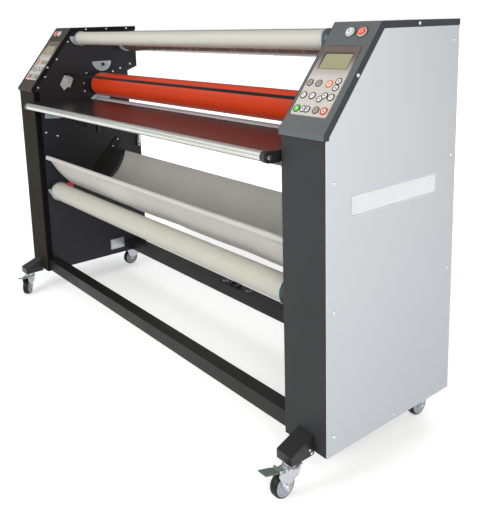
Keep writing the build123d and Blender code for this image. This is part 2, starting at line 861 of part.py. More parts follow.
def table_arm():
    x0 = table_half_width + table_gap
    x1 = x0 + arm_thickness
    half = arm_height / 2
    tail = pivot_axis[0] + half
    nose = front_tube_axis
    outline = [
        (nose[0], nose[1] - tube_cap_radius),
        (table_stop_y, pivot_axis[1] - half),
        (tail, pivot_axis[1] - half),
        (tail, pivot_axis[1] + half),
        (nose[0], nose[1] + tube_cap_radius),
    ]
    arm = plate(outline, x0, x1) + bar(x0, x1, nose, tube_cap_radius)
    arm -= bar(x0, x1, pivot_axis, pivot_radius + running_clearance)
    arm += bar(x0 - tube_cap_length, x0, nose, tube_cap_radius)
    plug = front_tube_plug - 2.0
    arm += bar(x0 - tube_cap_length - plug, x0, nose, pivot_radius)
    lug_y = table_front_y + 30.0
    for y in (lug_y, table_rear_y - 30.0):
        arm += block(table_half_width, x0, y, y + 14.0, table_top_z - 16.0, table_top_z - 6.0)
    return arm


def front_tube():
    end = table_half_width + table_gap - tube_cap_length - 0.5
    tube = pipe(-end, end, front_tube_axis, front_tube_radius, front_tube_radius - front_tube_wall)
    for side in (-1, 1):
        ends = sorted((side * end, side * (end - front_tube_plug)))
        plug_radius = front_tube_radius - front_tube_wall
        tube += pipe(ends[0], ends[1], front_tube_axis, plug_radius, pivot_radius + running_clearance)
    return tube


def tray_frame():
    parts = [bar(-wall_x, wall_x, axis, tray_rod_radius) for axis in (tray_front_axis, tray_rear_axis)]
    dy = tray_arm_high[0] - tray_arm_low[0]
    dz = tray_arm_high[1] - tray_arm_low[1]
    length = hypot(dy, dz)
    side_y, side_z = dz / length * tray_arm_width / 2, -dy / length * tray_arm_width / 2
    outline = [
        (tray_arm_low[0] - side_y, tray_arm_low[1] - side_z),
        (tray_arm_high[0] - side_y, tray_arm_high[1] - side_z),
        (tray_arm_high[0] + side_y, tray_arm_high[1] + side_z),
        (tray_arm_low[0] + side_y, tray_arm_low[1] + side_z),
    ]
    return parts + pair(plate(outline, wall_x - tray_arm_thickness, wall_x))


def cloth_curve(x, depth):
    # one side of the cloth where it is cut at x: front wall, bottom and rear wall
    wave = sin(x / 190.0) + 0.6 * sin(x / 83.0 + 1.1)
    sway = cloth_fold * wave
    hem = tray_rod_radius + tray_rod_gap
    a = (tray_front_axis[0] + hem + depth, tray_front_axis[1] - 2.0)
    b = (cloth_front_low[0] + depth * 0.8, cloth_front_low[1] + depth * 0.6 + 0.3 * sway)
    c = (cloth_rear_low[0] - depth * 0.8, cloth_rear_low[1] + depth * 0.6 - 0.3 * sway)
    d = (tray_rear_axis[0] - hem - depth, tray_rear_axis[1] - 2.0)
    front = ((a[0] + b[0]) / 2 - cloth_belly + sway, (a[1] + b[1]) / 2 - cloth_belly)
    bottom = ((b[0] + c[0]) / 2 + sway, (b[1] + c[1]) / 2 - cloth_sag)
    rear = ((c[0] + d[0]) / 2 + cloth_belly + 0.5 * sway, (c[1] + d[1]) / 2 - cloth_belly)
    return [a, front, b, bottom, c, rear, d]


def cloth_section(x):
    low = [Vector(x, y, z) for y, z in cloth_curve(x, 0.0)]
    high = [Vector(x, y, z) for y, z in cloth_curve(x, cloth_thickness)]
    edges = [ThreePointArc(low[i], low[i + 1], low[i + 2]) for i in (0, 2, 4)]
    edges.append(Line(low[-1], high[-1]))
    edges += [ThreePointArc(high[i], high[i - 1], high[i - 2]) for i in (6, 4, 2)]
    edges.append(Line(high[0], low[0]))
    return Face(Wire(edges))


def tray_cloth():
    step = 2 * cloth_half_width / (cloth_sections - 1)
    places = [-cloth_half_width + i * step for i in range(cloth_sections)]
    cloth = loft([cloth_section(x) for x in places])
    hem_radius = tray_rod_radius + tray_rod_gap
    for axis in (tray_front_axis, tray_rear_axis):
        cloth += pipe(-cloth_half_width, cloth_half_width, axis, hem_radius + cloth_thickness, hem_radius)
    return cloth


def outrigger():
    half = outrigger_width / 2
    wall = outrigger_wall
    low = -outrigger_drop
    fall = (outrigger_back_z - outrigger_front_z) / (front_y - outrigger_front_y)
    outer = [
        (front_y, low),
        (front_y, outrigger_back_z),
        (outrigger_front_y, outrigger_front_z),
        (outrigger_front_y, low),
    ]
    inner_back = front_y - wall
    inner_front = outrigger_front_y + wall
    inner = [
        (inner_back, low),
        (inner_back, outrigger_back_z - wall * (1 + fall) - fall * wall),
        (inner_front, outrigger_front_z - wall * (1 + fall) + fall * wall),
        (inner_front, low),
    ]
    arm = plate(outer, caster_x - half, caster_x + half)
    arm -= plate(inner, caster_x - half + wall, caster_x + half - wall)
    x0, x1 = caster_x - half + wall, caster_x + half - wall
    web = block(x0, x1, inner_front, inner_back, -caster_pad, -caster_pad + 4.0)
    return arm + web


def caster_plate(x, y):
    width, depth = caster_plate_size
    low = -caster_pad - caster_plate_thickness
    seat = block(x - width / 2, x + width / 2, y - depth / 2, y + depth / 2, low, -caster_pad)
    seat += post(x, y, race_z, low, race_radius)
    head_top = crown_z - crown_thickness - swivel_gap
    seat += post(x, y, head_top - kingpin_head_height, race_z, kingpin_radius)
    seat += post(x, y, head_top - kingpin_head_height, head_top, kingpin_head_radius)
    for dx in (-1, 1):
        for dy in (-1, 1):
            seat += post(x + dx * (width / 2 - 5), y + dy * (depth / 2 - 5), low - 3.5, low, 4.0)
    return seat


def caster_place(x, y, heading):
    return Pos(x, y, 0) * Rot(0, 0, heading)


def caster_fork(braked):
    low = crown_z - crown_thickness
    inner = wheel_width / 2 + cheek_gap
    outer = inner + cheek_thickness
    axle = (-trail, axle_z)
    nose = -trail - fork_nose
    profile = [
        (fork_tail, crown_z),
        (nose, crown_z),
        (nose, crown_z - fork_lip),
        (-trail - 9.0, axle_z),
        (-trail + 9.0, axle_z),
        (15.0, crown_z - 29.0),
    ]
    window_y = pedal_pivot[0] + pedal_ear + 1.0
    fork = block(-inner, inner, window_y, fork_tail, low, crown_z)
    fork = fork + post(0, 0, low, crown_z, crown_radius)
    for side in (-1, 1):
        x0, x1 = sorted((side * inner, side * outer))
        fork += plate(profile, x0, x1) + bar(x0, x1, axle, 9.0)
        if braked:
            fork += bar(x0, x1, pedal_pivot, pedal_ear)
        x0, x1 = sorted((side * outer, side * (outer + axle_head_length)))
        fork += bar(x0, x1, axle, axle_head)
    fork -= post(0, 0, low, crown_z, kingpin_radius + running_clearance)
    if braked:
        fork -= bar(-outer, outer, pedal_pivot, pedal_pin_radius + running_clearance)
    return fork + bar(-outer, outer, axle, axle_radius)


def caster_wheel():
    axle = (-trail, axle_z)
    half = wheel_width / 2
    hub = pipe(-half, half, axle, hub_radius, axle_radius + running_clearance)
    dish = 4.0
    for side in (-1, 1):
        x0, x1 = sorted((side * half, side * (half - dish)))
        hub -= pipe(x0, x1, axle, hub_radius - 4.0, 9.0)
    tyre = bar(-half, half, axle, wheel_radius)
    tyre = fillet(tyre.edges().filter_by(GeomType.CIRCLE), tyre_rounding)
    return hub, tyre - bar(-half, half, axle, hub_radius)


def brake_pedal():
    # a tread ahead of the fork, on a cam that turns between the cheeks
    y, z = pedal_pivot
    tip = -tread_reach
    half = pedal_thickness / 2
    inner = wheel_width / 2 + cheek_gap
    outer = inner + cheek_thickness
    tread_y = -trail - fork_nose - 4.0
    rise = pedal_tip_rise * (y - tread_y) / (y - tip)
    arm = [(y, z - half), (y, z + half), (tread_y, z + rise + half), (tread_y, z + rise - half)]
    tread = [
        (tread_y, z + rise - half),
        (tread_y, z + rise + half),
        (tip, z + pedal_tip_rise + half),
        (tip, z + pedal_tip_rise - half),
    ]
    pedal = plate(arm, -inner + 0.5, inner - 0.5) + bar(-inner + 0.5, inner - 0.5, pedal_pivot, pedal_ear)
    pedal += plate(tread, -tread_half_width, tread_half_width)
    return pedal + bar(-outer, outer, pedal_pivot, pedal_pin_radius)


def brake_knob():
    # a lobed knob on the inner face of the left-hand plate
    x1 = -wall_x
    x0 = x1 + knob_length
    y, z = knob_axis
    knob = bar(x1 + 0.5, x0, knob_axis, knob_radius)
    for i in range(knob_lobes):
        angle = radians(360 / knob_lobes * i)
        dent = (y + (knob_radius + 4.0) * cos(angle), z + (knob_radius + 4.0) * sin(angle))
        knob -= bar(x1 + 4.0, x0, dent, 6.0)
    return knob + bar(x1 - plate_thickness, x1 + 0.5, knob_axis, knob_pin_radius)


def electronics():
    # circuit board on pillars with its parts, and the power supply under it
    depth, height = board_size
    y0, z0 = front_y + board_inset, board_low_z
    back = wall_back_x + board_gap
    face = back + board_thickness
    board = block(back, face, y0, y0 + depth, z0, z0 + height)
    for along, up, wide, tall, thick in board_parts:
        y, z = y0 + along, z0 + up
        board += block(face, face + thick, y, y + wide, z, z + tall)
    parts = [board]
    for y in (y0 + board_post_inset, y0 + depth - board_post_inset):
        for z in (z0 + board_post_inset, z0 + height - board_post_inset):
            parts.append(bar(wall_back_x, back, (y, z), board_post_radius))
    wide, depth, height = supply_size
    y0, z0 = front_y + supply_inset, supply_low_z
    parts.append(block(wall_back_x, wall_back_x + wide, y0, y0 + depth, z0, z0 + height))
    return parts


def screw(depth):
    # head on the plane Z=0 pointing up, shank below
    head = Pos(0, 0, screw_head_height / 2) * Cylinder(screw_head_radius, screw_head_height)
    head = chamfer(head.edges().group_by(Axis.Z)[-1], 1.0)
    socket = extrude(RegularPolygon(screw_socket, 6), screw_head_height)
    head -= Pos(0, 0, screw_head_height - 1.4) * socket
    return head + Pos(0, 0, -depth / 2) * Cylinder(screw_shank_radius, depth)


def screws():
    out = Rot(0, 90, 0) * screw(sheet)
    inward = Rot(0, -90, 0) * screw(plate_thickness)
    lip_inward = Rot(0, -90, 0) * screw(sheet + plate_thickness)
    parts = [Pos(side_x, y, z) * out for y, z in side_screw_places()]
    parts += [Pos(wall_x, y, z) * inward for y, z in wall_screw_places()]
    parts += [Pos(side_x, y, z) * out for y, z in outer_lip_screw_places()]
    parts += [Pos(cabinet_inner_x, y, z) * lip_inward for y, z in inner_lip_screw_places()]
    return [piece for part in parts for piece in pair(part)]


def label_plates():
    # a bare rating plate inside and a bare badge plate outside
    low, high = label_low, label_high
    rating = block(-wall_x, -wall_x + label_thickness, low[0], high[0], low[1], high[1])
    front, back = badge_ends
    top = cabinet_height - badge_drop
    badge = block(side_x, side_x + label_thickness, front, back, top - badge_height, top)
    badge = fillet(badge.edges().filter_by(Axis.X), badge_corner)
    return [rating] + pair(badge)


os.makedirs("parts", exist_ok=True)

save("right_inner_plate", [inner_plate()])
pin_hole = bar(-wall_back_x, -wall_x, knob_axis, knob_pin_radius + running_clearance)
save("left_inner_plate", [mirrored(inner_plate()) - pin_hole])
save_sides("front_column", front_column())
save_sides("side_panel", side_panel())
save_sides("control_cap", control_cap())
save("rear_covers", [rear_cover() - inlet_cut(), mirrored(rear_cover())])
save("base_plates", pair(base_plate()))

pad, window = keypad()
save("right_keypad", [pad, window])
save("left_keypad", [mirrored(pad), mirrored(window)])
collars = []
for name, x in zip(("start_button", "stop_button"), button_columns):
    collar, cap = button_parts(x)
    collars += pair(collar)
    save_sides(name, cap)
save("button_collars", collars)

save("front_crossbar", [square_tube(cabinet_inner_x, front_bar_y, bar_low_z, bar_size, bar_wall)])
tie_low = tie_bar_axis[1] - tie_bar_size / 2
save("rear_crossbar", [
    square_tube(wall_x, rear_bar_y, bar_low_z, bar_size, bar_wall),
    square_tube(wall_x, tie_bar_axis[0], tie_low, tie_bar_size, bar_wall),
])
save("bar_clip", bar_clip())

upper_axis = (roller_y, upper_roller_z)
lower_axis = (roller_y, lower_roller_z)
save("upper_roller_sleeve", [pipe(-roller_end, roller_end, upper_axis, roller_radius, core_radius)])
save("lower_roller_sleeve", [pipe(-roller_end, roller_end, lower_axis, roller_radius, core_radius)])
save("upper_roller_core", [roller_core(upper_axis, False)])
save("lower_roller_core", [roller_core(lower_axis, True)])
save("upper_bearing_blocks", pair(upper_bearing()))
save("lower_bearing_blocks", pair(
    bearing_block(wall_back_x, lower_axis, journal_radius + running_clearance)))
save("lift_units", [piece for part in lift_unit() for piece in pair(part)])
save("roller_heater", [roller_heater()])

motor, motor_turning = motor_parts()
save("drive_motor", motor)
save("motor_pulley", [motor_turning])
save("drive_belt", [drive_belt()])
save("electrical_kit", electronics() + [mains_inlet()])

core_inner = front_top_radius - core_thickness
save("front_top_tube", [pipe(roll_left, roll_right, front_top_axis, front_top_radius, core_inner)])
save("front_top_mandrel", [mandrel(front_top_axis, front_top_radius, core_inner)])
rear_inner = rear_core_radius - core_thickness
film_left, film_right = roll_left + film_margin, roll_right - film_margin
save("rear_film_roll", [
    pipe(film_left, film_right, rear_top_axis, rear_film_radius, rear_core_radius),
    pipe(roll_left, roll_right, rear_top_axis, rear_core_radius, rear_inner),
])
save("rear_film_mandrel", [mandrel(rear_top_axis, rear_core_radius, rear_inner)])
lower_inner = lower_roll_radius - core_thickness
save("lower_roll_tube", [pipe(roll_left, roll_right, lower_roll_axis, lower_roll_radius, lower_inner)])
save("lower_roll_mandrel", [mandrel(lower_roll_axis, lower_roll_radius, lower_inner)])

save("wall_brackets", [piece for part in wall_brackets() for piece in pair(part)])
bar_y, bar_z = guide_bar_axis
half_deep, half_high = guide_bar_size[0] / 2, guide_bar_size[1] / 2
rod_end = wall_x - bracket_reach
save("guide_bars", [
    block(-wall_x, wall_x, bar_y - half_deep, bar_y + half_deep, bar_z - half_high, bar_z + half_high),
    bar(-rod_end, rod_end, guide_rod_axis, guide_rod_radius),
])

save("feed_table", [feed_table()])
save("table_arms", pair(table_arm()))
save("table_front_tube", [front_tube()])
save("tray_frame", tray_frame())
save("tray_cloth", [tray_cloth()])

caster_spots = {
    "front_right": (caster_x, front_caster_y, 0.0),
    "front_left": (-caster_x, front_caster_y, left_front_heading),
    "rear_right": (caster_x, rear_caster_y, 0.0),
    "rear_left": (-caster_x, rear_caster_y, 0.0),
}
plates = []
for name, (x, y, heading) in caster_spots.items():
    braked = name.startswith("front")
    place = caster_place(x, y, heading)
    hub, tyre = caster_wheel()
    plates.append(caster_plate(x, y))
    save(f"{name}_fork", [place * caster_fork(braked)])
    save(f"{name}_wheel", [place * hub, place * tyre])
    if braked:
        save(f"{name}_pedal", [place * brake_pedal()])
save("caster_plates", plates)
save("outriggers", pair(outrigger()))

save("brake_knob", [brake_knob()])
save("label_plates", label_plates())
save("screws", screws())
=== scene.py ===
import bpy
import bmesh
from math import atan2, cos, hypot, pi, radians, sin
from mathutils import Matrix, Vector, noise


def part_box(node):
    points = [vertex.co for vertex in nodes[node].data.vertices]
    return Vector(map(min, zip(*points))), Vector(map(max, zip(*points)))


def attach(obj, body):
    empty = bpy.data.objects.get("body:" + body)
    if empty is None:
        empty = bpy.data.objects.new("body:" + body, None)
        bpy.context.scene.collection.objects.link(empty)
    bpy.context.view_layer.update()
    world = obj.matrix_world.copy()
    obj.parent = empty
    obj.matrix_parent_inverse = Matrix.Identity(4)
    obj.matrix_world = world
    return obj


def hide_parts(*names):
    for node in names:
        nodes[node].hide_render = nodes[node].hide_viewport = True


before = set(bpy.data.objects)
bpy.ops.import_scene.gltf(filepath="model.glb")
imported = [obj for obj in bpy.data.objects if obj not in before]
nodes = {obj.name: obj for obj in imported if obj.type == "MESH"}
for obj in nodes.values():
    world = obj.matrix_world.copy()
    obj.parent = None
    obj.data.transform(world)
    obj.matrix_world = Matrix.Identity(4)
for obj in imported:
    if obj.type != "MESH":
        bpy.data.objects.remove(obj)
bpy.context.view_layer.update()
print("frame loaded:", len(nodes), "nodes")

# places are in millimetres, with Y from the cabinets' middle and Z from their underside
panelLow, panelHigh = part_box("right_side_panel")
midY = (panelLow[1] + panelHigh[1]) / 2
liftZ = panelLow[2]


def at(x, y, z):
    return Vector((x / 1000, y / 1000 + midY, z / 1000 + liftZ))


def newObject(name, data):
    made = bpy.data.objects.new(name, data)
    bpy.context.scene.collection.objects.link(made)
    return made


# camera
shot = {
    "place": (2155.8, -1455.1, 1183.2),
    "turn": -51.526,
    "tip": -10.753,
    "lean": -1.578,
    "focalPixels": 662.0,
    "imageHigh": 510,
    "horizonShift": -108.0,  # pixels from the image's middle to the lens axis
    "sensor": 36,
}


def makeCamera(s):
    turn, tip, lean = radians(s["turn"]), radians(s["tip"]), radians(s["lean"])
    ahead = Vector((sin(turn) * cos(tip), cos(turn) * cos(tip), sin(tip)))
    level = Vector((cos(turn), -sin(turn), 0))
    up = level.cross(ahead)
    right = cos(lean) * level + sin(lean) * up
    up = -sin(lean) * level + cos(lean) * up
    data = bpy.data.cameras.new("photoCamera")
    camera = newObject("photoCamera", data)
    columns = Matrix((right, up, -ahead)).transposed()
    camera.matrix_world = Matrix.Translation(at(*s["place"])) @ columns.to_4x4()
    data.sensor_fit = "VERTICAL"
    data.sensor_height = s["sensor"]
    data.lens = s["sensor"] * s["focalPixels"] / s["imageHigh"]
    data.shift_y = s["horizonShift"] / s["imageHigh"]
    data.clip_end = 200
    bpy.context.scene.camera = camera


makeCamera(shot)


# node helpers
def fill(tree, node, values):
    # an output is linked to the input it is given for; anything else becomes the input's value
    for key, value in values.items():
        if hasattr(value, "is_output"):
            tree.links.new(value, node.inputs[key])
        else:
            node.inputs[key].default_value = value
    return node


def addNode(tree, kind, values=None, **settings):
    node = tree.nodes.new(kind)
    for key, value in settings.items():
        setattr(node, key, value)
    return fill(tree, node, values or {})


def startMaterial(name):
    material = bpy.data.materials.new(name)
    material.use_nodes = True
    tree = material.node_tree
    return material, tree, tree.nodes["Principled BSDF"]


def surfacePoint(tree, scale=(1, 1, 1), turn=(0, 0, 0), shift=(0, 0, 0), source="Object"):
    point = addNode(tree, "ShaderNodeTexCoord").outputs[source]
    values = {"Vector": point, "Scale": scale, "Rotation": turn, "Location": shift}
    return addNode(tree, "ShaderNodeMapping", values).outputs["Vector"]


def axesOf(tree, vector):
    return addNode(tree, "ShaderNodeSeparateXYZ", {"Vector": vector}).outputs


def noiseOn(tree, vector, scale, detail=3.0, rough=0.55):
    values = {"Vector": vector, "Scale": scale, "Detail": detail, "Roughness": rough}
    return addNode(tree, "ShaderNodeTexNoise", values).outputs["Fac"]


def spread(tree, value, low, high, outLow=0.0, outHigh=1.0):
    values = {"Value": value, "From Min": low, "From Max": high, "To Min": outLow, "To Max": outHigh}
    return addNode(tree, "ShaderNodeMapRange", values).outputs["Result"]


def blendColours(tree, factor, first, second):
    first, second = (c if hasattr(c, "is_output") else (*c, 1) for c in (first, second))
    node = addNode(tree, "ShaderNodeMix", data_type="RGBA")
    return fill(tree, node, {"Factor": factor, 6: first, 7: second}).outputs[2]


def combine(tree, operation, first, second=0.0):
    return addNode(tree, "ShaderNodeMath", {0: first, 1: second}, operation=operation).outputs[0]


def bumpFrom(tree, shader, height, strength, distance):
    bump = addNode(tree, "ShaderNodeBump", {"Height": height, "Strength": strength, "Distance": distance})
    fill(tree, shader, {"Normal": bump.outputs["Normal"]})


def toned(colour, amount):
    return tuple(min(1.0, c * amount) for c in colour)


def tones(tree, value, low, high, colour, dark, pale):
    # a colour that goes from its dark to its pale tone as a pattern goes from low to high
    return blendColours(tree, spread(tree, value, low, high), toned(colour, dark), toned(colour, pale))


# materials
def powderCoat(name, colour, rough=0.42, peel=0.25, coat=0.0, shine=0.3, wear=1.0):
    # sprayed paint: a soft mottle, an orange-peel skin and a few rubbed patches
    material, tree, shader = startMaterial(name)
    point = surfacePoint(tree)
    tint = tones(tree, noiseOn(tree, point, 2.3, 2), 0.3, 0.7, colour, 0.93, 1.07)
    speck = spread(tree, noiseOn(tree, point, 900, 2), 0.4, 0.6)
    rubbed = (rough - 0.05 * wear, rough + 0.08 * wear)
    fill(tree, shader, {
        "Base Color": blendColours(tree, speck, tint, toned(colour, 1.02)),
        "Roughness": spread(tree, noiseOn(tree, point, 7, 4), 0.35, 0.75, *rubbed),
        "Specular IOR Level": shine,
        "Coat Weight": coat,
        "Coat Roughness": 0.2,
    })
    bumpFrom(tree, shader, noiseOn(tree, point, 420, 2), peel, 0.0003)
    return material


def overPaintAndShade(material, along, near, far, other):
    # a second tone that takes the paint over between near and far; on the left column and on the caps this
    # second tone is painted shade
    tree = material.node_tree
    shader = tree.nodes["Principled BSDF"]
    first = shader.inputs["Base Color"].links[0].from_socket
    fill(tree, shader, {"Base Color": blendColours(tree, spread(tree, along, near, far), first, other)})
    return material


def twoTonesAndPaintedLight(name, colour, other, axis, near, far, rough, shine):
    # one coat in two tones along an axis; for the left column the two tones are painted light, a lit front
    # face and shaded faces behind it
    material = powderCoat(name, colour, rough, peel=0.3, shine=shine)
    tree = material.node_tree
    return overPaintAndShade(material, axesOf(tree, surfacePoint(tree))[axis], near, far, other)


def capLightAndShade(name, colour, other, inner, outer, rough, shine, line=0.0004):
    # a folded cap lit from above: painted light on its top and slope, painted shade on its two side walls
    material = powderCoat(name, colour, rough, peel=0.3, shine=shine)
    tree = material.node_tree
    across = combine(tree, "ABSOLUTE", axesOf(tree, surfacePoint(tree))["X"])
    offMiddle = combine(tree, "ABSOLUTE", combine(tree, "SUBTRACT", across, (inner + outer) / 2))
    half = (outer - inner) / 2
    return overPaintAndShade(material, offMiddle, half - line, half, other)


def panelPaintAndShade(name, front, back, lowShade, spanY, spanZ):
    # the silver side paint: a fine metallic grain, with painted shade that makes it darker and a little
    # bluer to the back and the floor
    material, tree, shader = startMaterial(name)
    point = surfacePoint(tree)
    axes = axesOf(tree, point)
    # painted shade: darker and bluer towards the back, then towards the floor
    shade = blendColours(tree, spread(tree, axes["Y"], *spanY), front, back)
    shade = blendColours(tree, spread(tree, axes["Z"], *spanZ, 1.0, 0.0), shade, lowShade)
    grain = spread(tree, noiseOn(tree, point, 1400, 1), 0.35, 0.65, 0.0, 0.12)
    fill(tree, shader, {
        "Base Color": blendColours(tree, grain, shade, toned(front, 1.05)),
        "Roughness": spread(tree, noiseOn(tree, point, 5, 4), 0.3, 0.7, 0.38, 0.46),
        "Metallic": 0.1,
        "Specular IOR Level": 0.35,
    })
    bumpFrom(tree, shader, noiseOn(tree, point, 500, 2), 0.08, 0.0002)
    return material


def keypadFilm(name, low, high, lowZ, highZ):
    # printed film that fades from brown at the display to pale silver below the keys
    material, tree, shader = startMaterial(name)
    point = surfacePoint(tree)
    shade = blendColours(tree, spread(tree, axesOf(tree, point)["Z"], lowZ, highZ), low, high)
    fleck = spread(tree, noiseOn(tree, point, 1800, 2), 0.4, 0.7, 0.0, 0.25)
    fill(tree, shader, {
        "Base Color": blendColours(tree, fleck, shade, toned(low, 1.15)),
        "Roughness": spread(tree, noiseOn(tree, point, 30, 3), 0.3, 0.7, 0.34, 0.48),
    })
    bumpFrom(tree, shader, noiseOn(tree, point, 900, 1), 0.08, 0.0001)
    return material


def brushedMetal(name, colour, rough=0.3, grain=(1, 1, 1), scratch=0.15, metallic=1.0):
    # a metal whose polish marks run along the axis with the smallest grain value
    material, tree, shader = startMaterial(name)
    marks = noiseOn(tree, surfacePoint(tree, scale=grain), 1.0, 4, 0.7)
    stained = spread(tree, noiseOn(tree, surfacePoint(tree), 9, 3), 0.45, 0.9, 0, 0.5)
    shade = tones(tree, marks, 0.3, 0.7, colour, 0.88, 1.08)
    fill(tree, shader, {
        "Base Color": blendColours(tree, stained, shade, toned(colour, 0.8)),
        "Roughness": spread(tree, marks, 0.2, 0.8, rough - 0.08, rough + 0.12),
        "Metallic": metallic,
    })
    bumpFrom(tree, shader, marks, scratch, 0.0002)
    return material


def zincCoat(name, colour, bloomColour=(0.42, 0.47, 0.55)):
    # plated steel: a fine spangle under a thin blueish bloom
    material, tree, shader = startMaterial(name)
    point = surfacePoint(tree)
    spangle = addNode(tree, "ShaderNodeTexVoronoi", {"Vector": point, "Scale": 160.0})
    value = addNode(tree, "ShaderNodeRGBToBW", {"Color": spangle.outputs["Color"]})
    bloom = noiseOn(tree, point, 40, 3)
    shade = tones(tree, value.outputs["Val"], 0.2, 0.8, colour, 0.85, 1.0)
    fill(tree, shader, {
        "Base Color": blendColours(tree, spread(tree, bloom, 0.45, 0.75, 0, 0.4), shade, bloomColour),
        "Roughness": spread(tree, bloom, 0.3, 0.7, 0.26, 0.42),
        "Metallic": 0.9,
    })
    bumpFrom(tree, shader, noiseOn(tree, point, 300, 2), 0.12, 0.0002)
    return material


def mouldedPlastic(name, colour, rough=0.35, grain=0.1, coat=0.0):
    # cloudy at arm's length, with the mould's fine grain
    material, tree, shader = startMaterial(name)
    point = surfacePoint(tree)
    cloud = noiseOn(tree, point, 60, 3)
    fill(tree, shader, {
        "Base Color": tones(tree, cloud, 0.3, 0.7, colour, 0.92, 1.05),
        "Roughness": spread(tree, cloud, 0.2, 0.8, rough - 0.05, rough + 0.07),
        "Coat Weight": coat,
    })
    bumpFrom(tree, shader, noiseOn(tree, point, 1100, 1), grain, 0.0001)
    return material


def siliconeRubber(name, colour):
    # ground silicone: faint rings round the roller and a dusty bloom
    material, tree, shader = startMaterial(name)
    rings = noiseOn(tree, surfacePoint(tree, scale=(700, 6, 6)), 1.0, 3)
    dust = noiseOn(tree, surfacePoint(tree, scale=(1, 3, 3)), 5, 5)
    shade = tones(tree, rings, 0.3, 0.7, colour, 0.94, 1.05)
    dusty = spread(tree, dust, 0.45, 0.8, 0, 0.25)
    fill(tree, shader, {
        "Base Color": blendColours(tree, dusty, shade, toned(colour, 1.25)),
        "Roughness": spread(tree, dust, 0.3, 0.7, 0.28, 0.42),
        "Specular IOR Level": 0.18,
    })
    bumpFrom(tree, shader, rings, 0.12, 0.0002)
    return material


def tyreRubber(name, colour, dustColour=(0.05, 0.047, 0.044)):
    # dull rubber with dust in patches
    material, tree, shader = startMaterial(name)
    point = surfacePoint(tree)
    dust = noiseOn(tree, point, 90, 4)
    fill(tree, shader, {
        "Base Color": blendColours(tree, spread(tree, dust, 0.5, 0.9), colour, dustColour),
        "Roughness": spread(tree, dust, 0.3, 0.8, 0.38, 0.6),
        "Specular IOR Level": 0.25,
    })
    bumpFrom(tree, shader, noiseOn(tree, point, 700, 2), 0.3, 0.0003)
    return material


def woundWeb(name, colour, rough, bands=40.0, coat=0.0):
    # film or liner under tension: bands round the roll and a slight cross-web streak
    material, tree, shader = startMaterial(name)
    band = noiseOn(tree, surfacePoint(tree, scale=(bands, 0.4, 0.4)), 1.0, 4)
    fine = noiseOn(tree, surfacePoint(tree, scale=(bands * 22, 2, 2)), 1.0, 2)
    shade = tones(tree, band, 0.35, 0.65, colour, 0.975, 1.02)
    streak = spread(tree, fine, 0.4, 0.7, 0, 0.3)
    fill(tree, shader, {
        "Base Color": blendColours(tree, streak, shade, toned(colour, 1.05)),
        "Roughness": spread(tree, band, 0.3, 0.7, rough - 0.04, rough + 0.07),
        "Coat Weight": coat,
        "Coat Roughness": 0.12,
    })
    bumpFrom(tree, shader, band, 0.06, 0.0005)
    return material


def kraftBoard(name, colour, axisY, axisZ, radius):
    # a paper core: fibres and the spiral seam of its plies
    material, tree, shader = startMaterial(name)
    point = surfacePoint(tree, shift=(0, -axisY, -axisZ))
    axes = axesOf(tree, point)
    angle = combine(tree, "ARCTAN2", axes["Z"], axes["Y"])
    turns = combine(tree, "MULTIPLY", angle, 1 / (2 * pi))
    along = combine(tree, "MULTIPLY", axes["X"], 1 / (3.4 * radius))
    seam = combine(tree, "FRACT", combine(tree, "ADD", along, turns))
    line = spread(tree, seam, 0.0, 0.03)
    fibres = noiseOn(tree, point, 260, 5, 0.7)
    shade = tones(tree, fibres, 0.35, 0.65, colour, 0.85, 1.12)
    fill(tree, shader, {
        "Base Color": blendColours(tree, line, toned(colour, 0.6), shade),
        "Roughness": 0.85,
    })
    bumpFrom(tree, shader, combine(tree, "ADD", fibres, line), 0.25, 0.0004)
    return material


def wovenCloth(name, colour, threads):
    # coated plain weave on the cloth's own UV map, in metres of cloth
    material, tree, shader = startMaterial(name)
    point = surfacePoint(tree, source="UV")
    values = {"Vector": point, "Scale": threads, "Distortion": 0.6, "Detail": 1.0, "Detail Scale": 2.0}
    warp, weft = (addNode(tree, "ShaderNodeTexWave", values, bands_direction=way).outputs["Fac"]
                  for way in ("X", "Y"))
    cross = combine(tree, "MULTIPLY", warp, weft)
    slub = noiseOn(tree, surfacePoint(tree, scale=(6, 160, 1), source="UV"), 1.0, 3)
    cloud = noiseOn(tree, point, 5, 4)
    shade = tones(tree, cross, 0.1, 0.9, colour, 0.82, 1.08)
    shade = blendColours(tree, spread(tree, slub, 0.4, 0.7, 0, 0.3), shade, toned(colour, 0.86))
    shade = blendColours(tree, spread(tree, cloud, 0.35, 0.8, 0, 0.35), shade, toned(colour, 1.12))
    fill(tree, shader, {"Base Color": shade, "Roughness": 0.82, "Sheen Weight": 0.15})
    height = combine(tree, "ADD", cross, combine(tree, "MULTIPLY", cloud, 1.5))
    bumpFrom(tree, shader, height, 0.35, 0.0005)
    return material


def bricksOn(tree, vector, wide, high, gap, colours, offset=0.5):
    first, second, line = ((*colour, 1) for colour in colours)
    node = addNode(tree, "ShaderNodeTexBrick", {
        "Vector": vector, "Scale": 1.0, "Brick Width": wide, "Row Height": high, "Mortar Size": gap,
        "Color1": first, "Color2": second, "Mortar": line,
    }, offset=offset)
    return node.outputs["Color"]


def displayGlass(name, colour):
    # a backlit segment display behind its window, with nothing on it but faint cell rows
    material, tree, shader = startMaterial(name)
    point = surfacePoint(tree)
    cellColours = (colour, toned(colour, 0.96), toned(colour, 1.12))
    cells = bricksOn(tree, point, 0.006, 0.009, 0.0005, cellColours, offset=0.0)
    cloud = spread(tree, noiseOn(tree, point, 22, 3), 0.3, 0.8, 0, 0.4)
    fill(tree, shader, {
        "Base Color": blendColours(tree, cloud, cells, toned(colour, 0.8)),
        "Roughness": 0.18,
        "Coat Weight": 0.6,
    })
    return material


